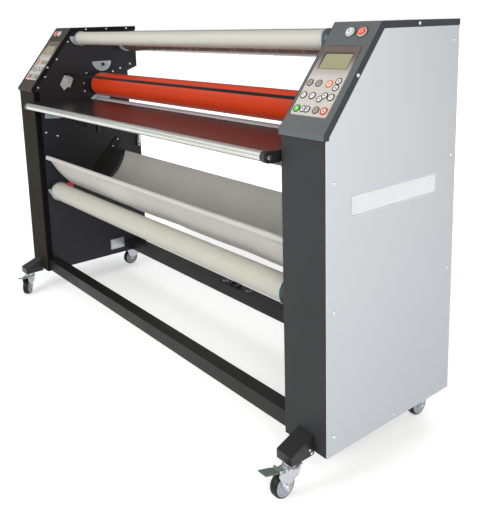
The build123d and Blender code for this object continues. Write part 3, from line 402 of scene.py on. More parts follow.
def circuitBoard(name):
    # green resist over rows of tracks
    material, tree, shader = startMaterial(name)
    upright = surfacePoint(tree, turn=(0, radians(90), 0))
    greens = ((0.02, 0.13, 0.05), (0.025, 0.17, 0.06), (0.1, 0.3, 0.12))
    tracks = bricksOn(tree, upright, 0.02, 0.004, 0.0006, greens)
    cloud = spread(tree, noiseOn(tree, surfacePoint(tree), 30, 3), 0.5, 0.8, 0, 0.5)
    fill(tree, shader, {
        "Base Color": blendColours(tree, cloud, tracks, (0.02, 0.09, 0.04)),
        "Roughness": 0.4,
    })
    return material


frontRoll, rearRoll, lowRoll = (-35.0, 1123.0), (227.0, 1101.0), (-202.0, 399.0)  # their axes, Y and Z
rearAxis = at(0, *rearRoll)
capWalls = (0.8582, 1.0232)  # the caps' inner and outer face, in metres from the middle

finish = {
    "charcoal": powderCoat("charcoalPowder", (0.029, 0.03, 0.031), 0.5, peel=0.35, shine=0.15),
    # the left column: the charcoal paint with a warm painted reflection on its front face, and painted
    # shade, near black, on the faces behind it
    "leftColumnLitAndShaded": twoTonesAndPaintedLight("leftColumnPowderLitAndShaded", (0.021, 0.018, 0.012), (0.006, 0.006, 0.008), "Y",
                             midY - 0.2775, midY - 0.2765, 0.6, 0.03),
    # the right cap: one dark blue-grey paint, with painted light from above making its top and slope
    # lighter than its side walls
    "rightCapPaintLitAndShaded": capLightAndShade("rightCapPaintLitAndShaded", (0.094, 0.104, 0.105), (0.03, 0.037, 0.047), *capWalls,
                             0.42, 0.25),
    # the left cap: a warm painted reflection on its top and slope, and painted shade on its side walls
    "leftCapLitAndShaded": capLightAndShade("leftCapPaintLitAndShaded", (0.062, 0.058, 0.047), (0.012, 0.012, 0.014), *capWalls,
                            0.6, 0.03),
    # the side panels: silver paint with painted shade towards the back and the floor
    "silver": panelPaintAndShade("silverPaintAndShade", (0.62, 0.64, 0.655), (0.5, 0.525, 0.55), (0.5, 0.53, 0.57),
                         (midY - 0.28, midY + 0.28), (liftZ, liftZ + 1.17)),
    "plate": powderCoat("plateBlack", (0.0165, 0.016, 0.0195), 0.4, peel=0.3),
    "bar": powderCoat("barBlack", (0.012, 0.0118, 0.0115), 0.4, peel=0.3, shine=0.2),
    "guide": twoTonesAndPaintedLight("guideSteel", (0.27, 0.24, 0.205), (0.006, 0.006, 0.006), "Z",
                          liftZ + 0.8, liftZ + 0.82, 0.4, 0.12),
    "arm": powderCoat("armGrey", (0.016, 0.016, 0.017), 0.36, shine=0.35),
    "table": powderCoat("tableCoating", (0.02, 0.0175, 0.0175), 0.28, peel=0.0, coat=0.2, wear=0.1),
    "motor": powderCoat("motorGrey", (0.14, 0.16, 0.18), 0.45),
    "pedal": powderCoat("pedalGreen", (0.12, 0.17, 0.13), 0.4),
    "keypad": keypadFilm("keypadFilm", (0.48, 0.45, 0.41), (0.075, 0.043, 0.038),
                         liftZ + 1.03, liftZ + 1.085),
    "display": displayGlass("displayWindow", (0.29, 0.285, 0.16)),
    "circuit": circuitBoard("circuitBoard"),
    "silicone": siliconeRubber("redSilicone", (0.62, 0.048, 0.01)),
    "greySilicone": siliconeRubber("greySilicone", (0.52, 0.55, 0.56)),
    "belt": tyreRubber("beltRubber", (0.02, 0.02, 0.02)),
    "tyre": tyreRubber("tyreBlack", (0.006, 0.006, 0.0065)),
    "cream": woundWeb("creamTube", (0.44, 0.425, 0.37), 0.5),
    "paleTube": woundWeb("paleTube", (0.5, 0.485, 0.43), 0.42),
    "film": woundWeb("woundFilm", (0.2, 0.135, 0.105), 0.24, coat=0.5),
    "kraft": kraftBoard("kraftCore", (0.3, 0.2, 0.12), rearAxis.y, rearAxis.z, 0.041),
    "cloth": wovenCloth("trayCloth", (0.54, 0.525, 0.48), 420.0),
    "turned": brushedMetal("turnedSteel", (0.5, 0.51, 0.53), 0.28, grain=(900, 5, 5)),
    "milled": brushedMetal("milledSteel", (0.42, 0.43, 0.45), 0.36, grain=(30, 30, 700)),
    "alloy": brushedMetal("turnedAlloy", (0.6, 0.61, 0.63), 0.3, grain=(800, 6, 6)),
    "flange": brushedMetal("anodisedFlange", (0.4, 0.47, 0.48), 0.34, grain=(700, 10, 10), metallic=0.7),
    "bracket": brushedMetal("bracketAlloy", (0.52, 0.58, 0.6), 0.46, grain=(20, 300, 20), metallic=0.3),
    "polished": brushedMetal("polishedTube", (0.57, 0.58, 0.54), 0.26, grain=(2, 140, 140), scratch=0.004,
                             metallic=0.8),
    "label": brushedMetal("foilLabel", (0.6, 0.61, 0.62), 0.3, grain=(20, 20, 900)),
    "screw": brushedMetal("screwSteel", (0.66, 0.67, 0.69), 0.24, grain=(60, 60, 60)),
    "copper": brushedMetal("copperBall", (0.65, 0.32, 0.16), 0.22),
    "heater": brushedMetal("heaterSheath", (0.4, 0.38, 0.36), 0.4, grain=(300, 8, 8)),
    "zinc": zincCoat("zincPlate", (0.62, 0.64, 0.67)),
    "collar": mouldedPlastic("collarPale", (0.5, 0.53, 0.52), 0.3, 0.05, coat=0.3),
    "white": mouldedPlastic("whiteCap", (0.6, 0.63, 0.63), 0.25, 0.05, coat=0.4),
    "red": mouldedPlastic("redCap", (0.78, 0.075, 0.012), 0.25, 0.05, coat=0.3),
    "knobRed": mouldedPlastic("knobRed", (0.6, 0.02, 0.02), 0.3, 0.05, coat=0.3),
    "wheelCore": mouldedPlastic("wheelCoreGrey", (0.4, 0.44, 0.48), 0.32, 0.1, coat=0.2),
    "blackPlastic": mouldedPlastic("blackPlastic", (0.018, 0.018, 0.018), 0.38, 0.2),
    "yellow": mouldedPlastic("yellowRing", (0.62, 0.42, 0.06), 0.35),
    "thread": mouldedPlastic("seamThread", (0.56, 0.55, 0.5), 0.8, 0.2),
    "lilac": mouldedPlastic("lilacWasher", (0.45, 0.4, 0.52), 0.4),
    "headerGrey": mouldedPlastic("headerGrey", (0.3, 0.31, 0.3), 0.42),
}
keyInks = {
    "keyBrown": (0.1, 0.072, 0.063),
    "keyFaded": (0.34, 0.3, 0.27),
    "keyGreen": (0.1, 0.56, 0.03),
    "keyOrange": (0.68, 0.17, 0.002),
    "keyRed": (0.56, 0.055, 0.01),
    "keyBlue": (0.02, 0.045, 0.18),
    "keyPale": (0.66, 0.65, 0.63),
    "keyGrey": (0.3, 0.29, 0.28),
    "keyDark": (0.034, 0.026, 0.025),
}
for name, ink in keyInks.items():
    finish[name] = mouldedPlastic(name, ink, 0.4)
print("materials:", len(finish))

nodeFinish = {
    "charcoal": ["right_front_column", "rear_covers"],
    "arm": ["table_arms", "outriggers"],
    "leftColumnLitAndShaded": ["left_front_column"],
    "rightCapPaintLitAndShaded": ["right_control_cap"],
    "leftCapLitAndShaded": ["left_control_cap"],
    "silver": ["right_side_panel", "left_side_panel"],
    "plate": ["right_inner_plate", "left_inner_plate", "base_plates"],
    "blackPlastic": ["bar_clip"],
    "keypad": ["right_keypad", "left_keypad"],
    "collar": ["button_collars"],
    "white": ["right_start_button", "left_start_button"],
    "red": ["right_stop_button", "left_stop_button"],
    "knobRed": ["brake_knob"],
    "silicone": ["upper_roller_sleeve"],
    "greySilicone": ["lower_roller_sleeve"],
    "turned": ["upper_roller_core", "lower_roller_core"],
    "heater": ["roller_heater"],
    "milled": ["upper_bearing_blocks", "lower_bearing_blocks", "lift_units"],
    "motor": ["drive_motor"],
    "alloy": ["motor_pulley"],
    "belt": ["drive_belt"],
    "circuit": ["electrical_kit"],
    "paleTube": ["front_top_tube"],
    "cream": ["lower_roll_tube"],
    "flange": ["front_top_mandrel", "rear_film_mandrel", "lower_roll_mandrel"],
    "bracket": ["wall_brackets"],
    "bar": ["front_crossbar", "rear_crossbar", "tray_frame"],
    "guide": ["guide_bars"],
    "table": ["feed_table"],
    "polished": ["table_front_tube"],
    "zinc": ["caster_plates", "front_right_fork", "front_left_fork", "rear_right_fork", "rear_left_fork"],
    "pedal": ["front_right_pedal", "front_left_pedal"],
    "label": ["label_plates"],
    "screw": ["screws"],
}
for key, names in nodeFinish.items():
    for name in names:
        nodes[name].data.materials.clear()
        nodes[name].data.materials.append(finish[key])


# mesh helpers
def meshFromFaces(name, points, faces, materials, faceMaterial=None, smooth=False):
    mesh = bpy.data.meshes.new(name)
    mesh.from_pydata([tuple(p) for p in points], [], faces)
    mesh.update()
    for key in materials:
        mesh.materials.append(finish[key])
    if faceMaterial:
        mesh.polygons.foreach_set("material_index", faceMaterial)
    if smooth:
        mesh.polygons.foreach_set("use_smooth", [True] * len(mesh.polygons))
    return newObject(name, mesh)


def applyModifiers(piece):
    graph = bpy.context.evaluated_depsgraph_get()
    old = piece.data
    mesh = bpy.data.meshes.new_from_object(piece.evaluated_get(graph))
    piece.modifiers.clear()
    piece.data = mesh
    bpy.data.meshes.remove(old)
    return piece


def softenEdges(piece, width, segments=2, angle=35):
    bevel = piece.modifiers.new("edges", "BEVEL")
    bevel.width = width
    bevel.segments = segments
    bevel.limit_method = "ANGLE"
    bevel.angle_limit = radians(angle)
    bevel.harden_normals = True
    return applyModifiers(piece)


def shadeByAngle(piece, angle=35):
    edges = bmesh.new()
    edges.from_mesh(piece.data)
    for face in edges.faces:
        face.smooth = True
    for edge in edges.edges:
        edge.smooth = len(edge.link_faces) == 2 and edge.calc_face_angle(0.0) < radians(angle)
    edges.to_mesh(piece.data)
    edges.free()
    return piece


def faceOutwards(piece, weld=False):
    # turns every face outwards, after closing any seam
    shape = bmesh.new()
    shape.from_mesh(piece.data)
    if weld:
        bmesh.ops.remove_doubles(shape, verts=shape.verts, dist=1e-7)
    bmesh.ops.recalc_face_normals(shape, faces=shape.faces)
    shape.to_mesh(piece.data)
    shape.free()
    return piece


def turnedMesh(name, profile, centre, axis, materials, steps=48, bands=None):
    # turns a closed outline of (along, radius) pairs round an axis
    axis = Vector(axis).normalized()
    side = axis.orthogonal().normalized()
    other = axis.cross(side)
    points, faces, faceMaterial = [], [], []
    for i in range(steps):
        angle = 2 * pi * i / steps
        out = side * cos(angle) + other * sin(angle)
        points += [centre + axis * along + out * radius for along, radius in profile]
    count = len(profile)
    for i in range(steps):
        here, there = i * count, ((i + 1) % steps) * count
        for j in range(count):
            nxt = (j + 1) % count
            if profile[j][1] == 0 and profile[nxt][1] == 0:
                continue  # both ends lie on the axis
            faces.append((here + j, here + nxt, there + nxt, there + j))
            faceMaterial.append(bands[j] if bands else 0)
    piece = meshFromFaces(name, points, faces, materials, faceMaterial)
    return shadeByAngle(faceOutwards(piece, weld=True), 40)


def prism(name, outline, low, high, mapPoint, materials):
    # a flat outline between two depths; mapPoint turns (a, b, depth) into a place
    count = len(outline)
    points = [mapPoint(a, b, depth) for depth in (low, high) for a, b in outline]
    faces = [tuple(range(count)), tuple(range(2 * count - 1, count - 1, -1))]
    faces += [(i, i + count, (i + 1) % count + count, (i + 1) % count) for i in range(count)]
    return faceOutwards(meshFromFaces(name, points, faces, materials))


def join(name, pieces):
    # one mesh from several, with each face's own material kept
    materials, points, faces, faceMaterial, smooth = [], [], [], [], []
    for piece in pieces:
        slots = []
        for material in piece.data.materials:
            if material not in materials:
                materials.append(material)
            slots.append(materials.index(material))
        start = len(points)
        points += [v.co.copy() for v in piece.data.vertices]
        for face in piece.data.polygons:
            faces.append(tuple(start + v for v in face.vertices))
            faceMaterial.append(slots[face.material_index])
            smooth.append(face.use_smooth)
    mesh = bpy.data.meshes.new(name)
    mesh.from_pydata(points, [], faces)
    for material in materials:
        mesh.materials.append(material)
    mesh.polygons.foreach_set("material_index", faceMaterial)
    mesh.polygons.foreach_set("use_smooth", smooth)
    mesh.update()
    joined = newObject(name, mesh)
    for piece in pieces:
        old = piece.data
        bpy.data.objects.remove(piece)
        bpy.data.meshes.remove(old)
    return shadeByAngle(joined)


# geometry node helpers
def startTree(name, inputs):
    tree = bpy.data.node_groups.new(name, "GeometryNodeTree")
    tree.interface.new_socket("Geometry", in_out="INPUT", socket_type="NodeSocketGeometry")
    for label, kind, value in inputs:
        socket = tree.interface.new_socket(label, in_out="INPUT", socket_type=kind)
        if value is not None:
            socket.default_value = value
    tree.interface.new_socket("Geometry", in_out="OUTPUT", socket_type="NodeSocketGeometry")
    return tree, tree.nodes.new("NodeGroupInput"), tree.nodes.new("NodeGroupOutput")


def finishTree(tree, geometry, material, output):
    whole = addNode(tree, "GeometryNodeRealizeInstances", {0: geometry})
    paint = addNode(tree, "GeometryNodeSetMaterial", {"Geometry": whole.outputs[0], "Material": material})
    fill(tree, output, {0: paint.outputs[0]})


def pointVector(tree, label):
    # a direction that each point of the carrier holds
    node = addNode(tree, "GeometryNodeInputNamedAttribute", {"Name": label}, data_type="FLOAT_VECTOR")
    return node.outputs["Attribute"]


def copiesTree():
    # copies of a shape on every point of the carrier, turned to its facing and heading
    tree, given, output = startTree("repeatOnPoints", [
        ("Shape", "NodeSocketObject", None),
        ("Size", "NodeSocketFloat", 1.0),
        ("Finish", "NodeSocketMaterial", None),
    ])
    turnKind = "FunctionNodeAlignEulerToVector"
    shape = addNode(tree, "GeometryNodeObjectInfo", {"Object": given.outputs["Shape"]})
    up = addNode(tree, turnKind, {"Vector": pointVector(tree, "facing")}, axis="Z")
    turned = {"Rotation": up.outputs["Rotation"], "Vector": pointVector(tree, "heading")}
    ahead = addNode(tree, turnKind, turned, axis="X", pivot_axis="Z")
    copies = addNode(tree, "GeometryNodeInstanceOnPoints", {
        "Points": given.outputs["Geometry"],
        "Instance": shape.outputs["Geometry"],
        "Rotation": ahead.outputs["Rotation"],
        "Scale": given.outputs["Size"],
    })
    finishTree(tree, copies.outputs["Instances"], given.outputs["Finish"], output)
    return tree


repeatOnPoints = copiesTree()


def repeatShape(name, shape, spots, key, size=1.0):
    # spots are (place, facing, heading); the result is one plain mesh
    mesh = bpy.data.meshes.new(name)
    mesh.from_pydata([tuple(spot[0]) for spot in spots], [], [])
    for index, label in ((1, "facing"), (2, "heading")):
        layer = mesh.attributes.new(label, "FLOAT_VECTOR", "POINT")
        layer.data.foreach_set("vector", [c for spot in spots for c in spot[index]])
    piece = newObject(name, mesh)
    modifier = piece.modifiers.new("repeat", "NODES")
    modifier.node_group = repeatOnPoints
    items = repeatOnPoints.interface.items_tree
    sockets = {item.name: item.identifier for item in items if item.in_out == "INPUT"}
    modifier[sockets["Shape"]] = shape
    modifier[sockets["Size"]] = size
    modifier[sockets["Finish"]] = finish[key]
    bpy.context.view_layer.update()
    return shadeByAngle(applyModifiers(piece))


patterns = []


def pattern(name, build):
    # a small shape that other pieces repeat; it is removed before the end
    mesh = bpy.data.meshes.new(name)
    shape = bmesh.new()
    build(shape)
    bmesh.ops.recalc_face_normals(shape, faces=shape.faces)
    shape.to_mesh(mesh)
    shape.free()
    patterns.append(newObject(name, mesh))
    return patterns[-1]


def bareHead(shape, sides, height, inset, rise):
    # a screw head of radius 1 with an inset top
    bmesh.ops.create_cone(shape, cap_ends=True, segments=sides, radius1=1, radius2=1, depth=height,
                          matrix=Matrix.Translation((0, 0, height / 2)))
    top = [f for f in shape.faces if f.normal.z > 0.9]
    bmesh.ops.inset_region(shape, faces=top, thickness=inset, depth=height * rise)


def hexHead(shape):
    bareHead(shape, 6, 0.7, 0.16, 0.1)


def roundHead(shape, sides=16, height=0.6):
    bareHead(shape, sides, height, 0.22, 0.12)
    top = [f for f in shape.faces if f.normal.z > 0.9 and len(f.verts) == sides]
    bmesh.ops.inset_region(shape, faces=top, thickness=0.3, depth=-height * 0.5)  # the driver's recess


def stitchShape(shape, long=2.4):
    # one stitch along X, half sunk in the cloth
    bmesh.ops.create_cone(shape, cap_ends=True, segments=6, radius1=0.32, radius2=0.32, depth=long,
                          matrix=Matrix.Rotation(radians(90), 4, "Y"))
    for vertex in shape.verts:
        share = vertex.co.x / (long / 2)
        taper = 1 - 0.35 * abs(share) ** 2
        vertex.co.y *= taper
        vertex.co.z = vertex.co.z * taper + 0.12 * (1 - share ** 2)


hexPattern = pattern("hexPattern", hexHead)
roundPattern = pattern("roundPattern", roundHead)
stitchPattern = pattern("stitchPattern", stitchShape)


# the cloth tray
tray = {
    "frontRod": (-243.0, 570.0),
    "rearRod": (181.0, 533.0),
    "rodWrap": 8.0,        # radius of the cloth's middle round a rod
    "leave": 3.0,          # below the rod's middle, where the cloth leaves it
    "halfWide": 843.0,
    "hemInset": 1.5,       # the pocket's free edge, from the loop's outside and from the rod's middle
    "hemDrop": 9.0,
    "hemGap": 1.4,         # added to the cloth's thickness, between the pocket and the wall
    "frontLow": (-125.8, 422.9),
    "rearLow": (82.8, 411.9),
    "sag": 28.5,
    "belly": 9.0,
    "sway": 6.0,
    "waves": ((190.0, 1.0, 0.0), (83.0, 0.6, 1.1)),  # length, share and start of each slow wave
    "thick": 1.5,
    "stepX": 8.5,
    "rows": (24, 34, 22),  # steps down the front wall, over the bottom and up the rear wall
    "drag": 1.5,           # height of the slanting drag lines
    "slant": (0.55, 0.9, 34.0),  # their lean across and along the cloth, and their length
    "patch": (260.0, 120.0),     # size of the areas where they show
    "crumple": 0.8,
    "crease": (60.0, 45.0),
    "fadeRows": (16, 8.0),       # rows kept clear at each pocket, and the rows of the fade
    "seamRows": ((13, 1), (-14, -1)),  # the row of each pocket's seam, and the side it is seen from
    "sideSeam": 9.0,
    "stitchPitch": 4.5,
    "stitchStart": 8,      # from the cloth's edge
    "stitchLift": 0.05,
}


def arcPoints(first, middle, last, count):
    # points on the circle through three points, without the last
    (ax, ay), (bx, by), (cx, cy) = first, middle, last
    d = 2 * (ax * (by - cy) + bx * (cy - ay) + cx * (ay - by))
    aa, bb, cc = ax * ax + ay * ay, bx * bx + by * by, cx * cx + cy * cy
    ux = (aa * (by - cy) + bb * (cy - ay) + cc * (ay - by)) / d
    uy = (aa * (cx - bx) + bb * (ax - cx) + cc * (bx - ax)) / d
    start, mid, end = (atan2(y - uy, x - ux) for x, y in (first, middle, last))
    sweep = (end - start) % (2 * pi)
    if (mid - start) % (2 * pi) > sweep:
        sweep -= 2 * pi
    radius = hypot(ax - ux, ay - uy)
    angles = [start + sweep * i / count for i in range(count)]
    return [(ux + radius * cos(angle), uy + radius * sin(angle)) for angle in angles]


def traySection(t, x):
    # the cloth's middle line cut at x: pocket, front wall, bottom, rear wall, pocket
    wave = t["sway"] * sum(share * sin(x / length + start) for length, share, start in t["waves"])
    wrap, belly = t["rodWrap"], t["belly"]
    (fy, fz), (ry, rz) = t["frontRod"], t["rearRod"]
    a = (fy + wrap, fz - t["leave"])
    d = (ry - wrap, rz - t["leave"])
    b = (t["frontLow"][0], t["frontLow"][1] + 0.3 * wave)
    c = (t["rearLow"][0], t["rearLow"][1] - 0.3 * wave)
    front = ((a[0] + b[0]) / 2 - belly + wave, (a[1] + b[1]) / 2 - belly)
    bottom = ((b[0] + c[0]) / 2 + wave, (b[1] + c[1]) / 2 - t["sag"])
    rear = ((c[0] + d[0]) / 2 + belly + 0.5 * wave, (c[1] + d[1]) / 2 - belly)
    line = []
    for first, middle, last, count in zip((a, b, c), (front, bottom, rear), (b, c, d), t["rows"]):
        line += arcPoints(first, middle, last, count)
    line.append(d)

    turns = [radians(g) for g in range(200, -20, -20)]
    frontLoop = [(fy + wrap * cos(g), fz + wrap * sin(g)) for g in turns]
    rearLoop = [(ry - wrap * cos(g), rz + wrap * sin(g)) for g in reversed(turns)]
    # each pocket's free edge lies outside the wall
    layer = t["thick"] + t["hemGap"]
    inset, drop = wrap - t["hemInset"], t["hemDrop"]
    frontHem = [(line[2][0] - layer, line[2][1]), (fy - inset, fz - drop)]
    rearHem = [(ry + inset, rz - drop), (line[-3][0] + layer, line[-3][1])]
    return frontHem + frontLoop + line + rearLoop + rearHem


def runsAlong(line):
    # the length of cloth from the line's start to each of its points
    runs = [0.0]
    for (y0, z0), (y1, z1) in zip(line, line[1:]):
        runs.append(runs[-1] + hypot(y1 - y0, z1 - z0))
    return runs


def dragAt(t, x, run, row, rows):
    # slanting drag lines and a slight crumple, which fade out towards the pockets
    clear, fade = t["fadeRows"]
    share = min(1.0, max(0.0, (row - clear) / fade)) * min(1.0, max(0.0, (rows - clear - row) / fade))
    across, along, length = t["slant"]
    slant = (x * across + run * along) / length
    patch = noise.noise(Vector((x / t["patch"][0], run / t["patch"][1], 3.1)))
    crease = noise.noise(Vector((x / t["crease"][0], run / t["crease"][1], 8.0)))
    lines = t["drag"] * share * sin(slant + 2.5 * patch) * (0.35 + max(0.0, patch))
    return lines + t["crumple"] * share * crease


def makeTray(t):
    wide = 2 * t["halfWide"]
    columns = int(wide / t["stepX"]) + 1
    rows = len(traySection(t, 0.0))
    points, faces, lengths = [], [], []
    for i in range(columns + 1):
        x = -t["halfWide"] + wide * i / columns
        line = traySection(t, x)
        runs = runsAlong(line)
        lengths.append(runs)
        for j, (y, z) in enumerate(line):
            before, after = line[max(j - 1, 0)], line[min(j + 1, rows - 1)]
            dy, dz = after[0] - before[0], after[1] - before[1]
            size = hypot(dy, dz) or 1.0
            drag = dragAt(t, x, runs[j], j, rows)
            points.append(at(x, y - dz / size * drag, z + dy / size * drag))
    for i in range(columns):
        for j in range(rows - 1):
            here, there = i * rows + j, (i + 1) * rows + j
            faces.append((here, there, there + 1, here + 1))
    piece = meshFromFaces("trayClothSheet", points, faces, ["cloth"], smooth=True)
    layer = piece.data.uv_layers.new(name="clothUV")
    uv = []
    for face in piece.data.polygons:
        for v in face.vertices:
            i, j = divmod(v, rows)
            uv += [i / columns * wide / 1000, lengths[i][j] / 1000]
    layer.data.foreach_set("uv", uv)
    solid = piece.modifiers.new("thickness", "SOLIDIFY")
    solid.thickness = t["thick"] / 1000
    solid.offset = 0
    applyModifiers(piece)
    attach(piece, "frame")
    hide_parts("tray_cloth")
    stitches = makeTrayStitches(t)


def makeTrayStitches(t):
    spots = []
    pitch, half = t["stitchPitch"], t["thick"] / 2
    start = t["stitchStart"] - t["halfWide"]
    for row, side in t["seamRows"]:
        for i in range(int(-2 * start / pitch)):
            x = start + pitch * i
            (y0, z0), (y, z), (y1, z1) = traySection(t, x)[row - 1:row + 2]
            size = hypot(y1 - y0, z1 - z0)
            out = Vector((0, (z1 - z0) / size, -(y1 - y0) / size))
            out = out if out.y * side < 0 else -out
            spots.append((at(x, y, z) + out * (half + t["stitchLift"]) / 1000, out, (1, 0, 0)))
    clear = t["seamRows"][0][0] + 1
    for x in (t["sideSeam"] - t["halfWide"], t["halfWide"] - t["sideSeam"]):
        line = traySection(t, x)[clear:1 - clear]
        carried = 0.0
        for (y0, z0), (y1, z1) in zip(line, line[1:]):
            size = hypot(y1 - y0, z1 - z0)
            carried += size
            if carried < pitch:
                continue
            carried = 0.0
            along = (0, (y1 - y0) / size, (z1 - z0) / size)
            middle = at(x, (y0 + y1) / 2, (z0 + z1) / 2)
            for sign in (1, -1):
                out = Vector((0, sign * along[2], -sign * along[1]))
                spots.append((middle + out * half / 1000, out, along))
    piece = repeatShape("trayStitches", stitchPattern, spots, "thread", 0.001)
    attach(piece, "frame")
    return piece


makeTray(tray)
print("cloth tray made")

# keypads
slopeFoot = (-287.0, 898.0)
slopeAngle = atan2(276.0, 219.0)
slopeNormal = Vector((0, -sin(slopeAngle), cos(slopeAngle)))

keypad = {
    "middle": (935.5, 160.0),
    "size": (134.0, 224.0),
    "corner": 10.0,
    "film": 1.2,
    "keyTop": 2.0,
    "keys": [
        # across and up from the middle, radius, ring, ring's share of the radius, field, mark
        (-50, -10.5, 11.3, "keyBrown", 0.26, "keyFaded", "keyBrown"),
        (-17.5, -10.5, 11.3, "keyBrown", 0.26, "keyFaded", "keyBrown"),
        (20.5, -10.5, 11.8, "keyOrange", 0.36, "keyPale", "keyBlue"),
        (48, -21, 10.3, "keyDark", 0.25, "keyPale", "keyDark"),
        (48, -0.5, 10.3, "keyDark", 0.25, "keyPale", "keyDark"),
        (-50, -50, 11.3, "keyDark", 0.25, "keyPale", "keyGrey"),
        (-17.5, -50, 11.3, "keyDark", 0.25, "keyPale", "keyGrey"),
        (49, -50, 11.3, "keyDark", 0.25, "keyPale", "keyGrey"),
        (25.5, -47, 10.2, "keyDark", 0.25, "keyPale", "keyDark"),
        (13, -58, 10.2, "keyDark", 0.25, "keyPale", "keyDark"),
        (-50, -92, 11.3, "keyDark", 0.2, "keyGreen", "keyPale"),
        (-11.5, -92, 10.2, "keyDark", 0.25, "keyPale", "keyDark"),
        (-26, -92, 10.2, "keyDark", 0.25, "keyPale", "keyDark"),
        (20.5, -92, 11.3, "keyBrown", 0.26, "keyFaded", "keyBrown"),
        (49, -92, 11.8, "keyRed", 0.4, "keyPale", "keyBlue"),
    ],
    "keyRise": 0.0009,     # in metres
    "keyStep": 0.00004,    # each key stands this much above the one before, so touching rings don't flicker
    "border": (0.4, 1.2, 0.12),  # margin, width and height of the dark edge line
    "display": (0.0, 63.0, 103.0, 53.0),
    "step": (1.5, 1.0, 0.4),     # corner, width and height of the display's step
    "windowTop": 0.6,
    "glass": (1.0, 0.12),        # corner and thickness
    # how far the shadow reaches in at the foot and head of its side, and down at both ends of the top
    "shadow": (3.0, 6.0, 4.5, 3.5),
    "shadowDepths": (0.1, 0.2),
}


def onSlope(side, across, up, rise):
    y = slopeFoot[0] + up * cos(slopeAngle) - rise * sin(slopeAngle)
    z = slopeFoot[1] + up * sin(slopeAngle) + rise * cos(slopeAngle)
    return at(side * across, y, z)


def roundedOutline(width, height, corner, steps=6, middle=(0, 0)):
    outline = []
    for cx, cy, start in ((1, 1, 0), (-1, 1, 90), (-1, -1, 180), (1, -1, 270)):
        for i in range(steps + 1):
            angle = radians(start + 90 * i / steps)
            outline.append((middle[0] + cx * (width / 2 - corner) + corner * cos(angle),
                            middle[1] + cy * (height / 2 - corner) + corner * sin(angle)))
    return outline


def frameLine(name, outline, inset, low, high, mapPoint, key):
    # a flat band between an outline and the same outline drawn inwards
    count = len(outline)
    inner = []
    for i, (a, b) in enumerate(outline):
        a0, b0 = outline[i - 1]
        a1, b1 = outline[(i + 1) % count]
        size = hypot(a1 - a0, b1 - b0)
        inner.append((a - (b1 - b0) / size * inset, b + (a1 - a0) / size * inset))
    rings = [(outline, low), (outline, high), (inner, high), (inner, low)]
    points = [mapPoint(a, b, depth) for ring, depth in rings for a, b in ring]
    faces = []
    for r in range(len(rings)):
        here, there = r * count, ((r + 1) % len(rings)) * count
        for i in range(count):
            nxt = (i + 1) % count
            faces.append((here + i, here + nxt, there + nxt, there + i))
    return faceOutwards(meshFromFaces(name, points, faces, [key]))


def makeKey(name, place, key, low, rise):
    # a printed key: a raised ring, a pale field inside it and a small mark in the middle
    radius, ring, share, field, mark = key
    r, inner, dot = radius / 1000, radius * (1 - share) / 1000, radius * 0.24 / 1000
    high, foot = low + rise, -0.001
    dome = [(foot, 0), (foot, r), (low, r), (high, r * 0.97), (high, inner), (high - 0.0003, inner * 0.96),
            (high - 0.0001, dot), (high, dot * 0.9), (high, 0)]
    bands = [0, 0, 0, 0, 0, 1, 2, 2, 0]
    return turnedMesh(name, dome, place, slopeNormal, [ring, field, mark], 32, bands)


def makeKeypad(k, side, label):
    midX, midUp = k["middle"]
    parts = []
    for i, (across, up, *key) in enumerate(k["keys"]):
        place = onSlope(side, midX + across, midUp + up, k["keyTop"])
        parts.append(makeKey(f"key{i}", place, key, k["keyStep"] * i, k["keyRise"]))

    def onPad(a, b, depth):
        return onSlope(side, midX + a, midUp + b, k["film"] + depth)

    wide, high = k["size"]
    margin, line, rise = k["border"]
    border = roundedOutline(wide - margin, high - margin, k["corner"])
    parts.append(frameLine("padBorder", border, line, 0.0, rise, onPad, "keyDark"))
    dx, dy, dw, dh = k["display"]
    corner, line, rise = k["step"]
    top = k["windowTop"]
    opening = roundedOutline(dw, dh, corner, middle=(dx, dy))
    parts.append(frameLine("displayStep", opening, line, 0.0, top + rise, onPad, "keyBrown"))
    # the window lies deep in its frame, so its top and one side are in shade
    foot, head, inner, outer = k["shadow"]
    a, b = dw / 2 - line, dh / 2 - line
    shadow = [(-a, -b), (foot - a, -b), (head - a, b - inner), (a, b - outer), (a, b), (-a, b)]
    shadow = [(dx + side * x, dy + y) for x, y in shadow]
    depths = [top + depth for depth in k["shadowDepths"]]
    parts.append(prism("displayShade", shadow, *depths, onPad, ["keyDark"]))
    corner, thick = k["glass"]
    glass = roundedOutline(dw - line, dh - line, corner, middle=(dx, dy))
    parts.append(prism("displayGlass", glass, top, top + thick, onPad, ["display"]))
    piece = join(f"{label}KeypadPrint", parts)
    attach(piece, "frame")


makeKeypad(keypad, 1, "right")
makeKeypad(keypad, -1, "left")
print("keypads made")

# push buttons: a black ring under each collar, partly a bezel and partly painted shadow at the collar's
# foot, and a raised mark on each cap
buttons = {
    "up": 316.0,
    "collar": 15.0,
    "seat": 0.1,           # the black ring's foot above the cap's slope
    "capTop": 8.0,
    "kinds": {"start": (934.5, "keyDark"), "stop": (976.5, "keyPale")},
    "stroke": (2.0, 9.0, 0.9, 4),
    "strokeRise": (-0.2, 0.25),
    "ring": [(-0.0002, 0.0042), (0.0002, 0.0044), (0.0002, 0.0058), (-0.0002, 0.006)],
}


def makeBezelShadowRings(b):
    # a black ring round each collar's foot: partly a bezel, partly painted shadow
    r = b["collar"] / 1000
    outline = [(0, r - 0.0005), (0, r + 0.003), (0.0011, r + 0.0026), (0.0019, r + 0.0012),
               (0.0019, r - 0.0005)]
    rings = []
    for side in (1, -1):
        for x, mark in b["kinds"].values():
            place = onSlope(side, x, b["up"], b["seat"])
            rings.append(turnedMesh("gasket", outline, place, slopeNormal, ["blackPlastic"]))
    piece = join("buttonGaskets", rings)
    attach(piece, "frame")


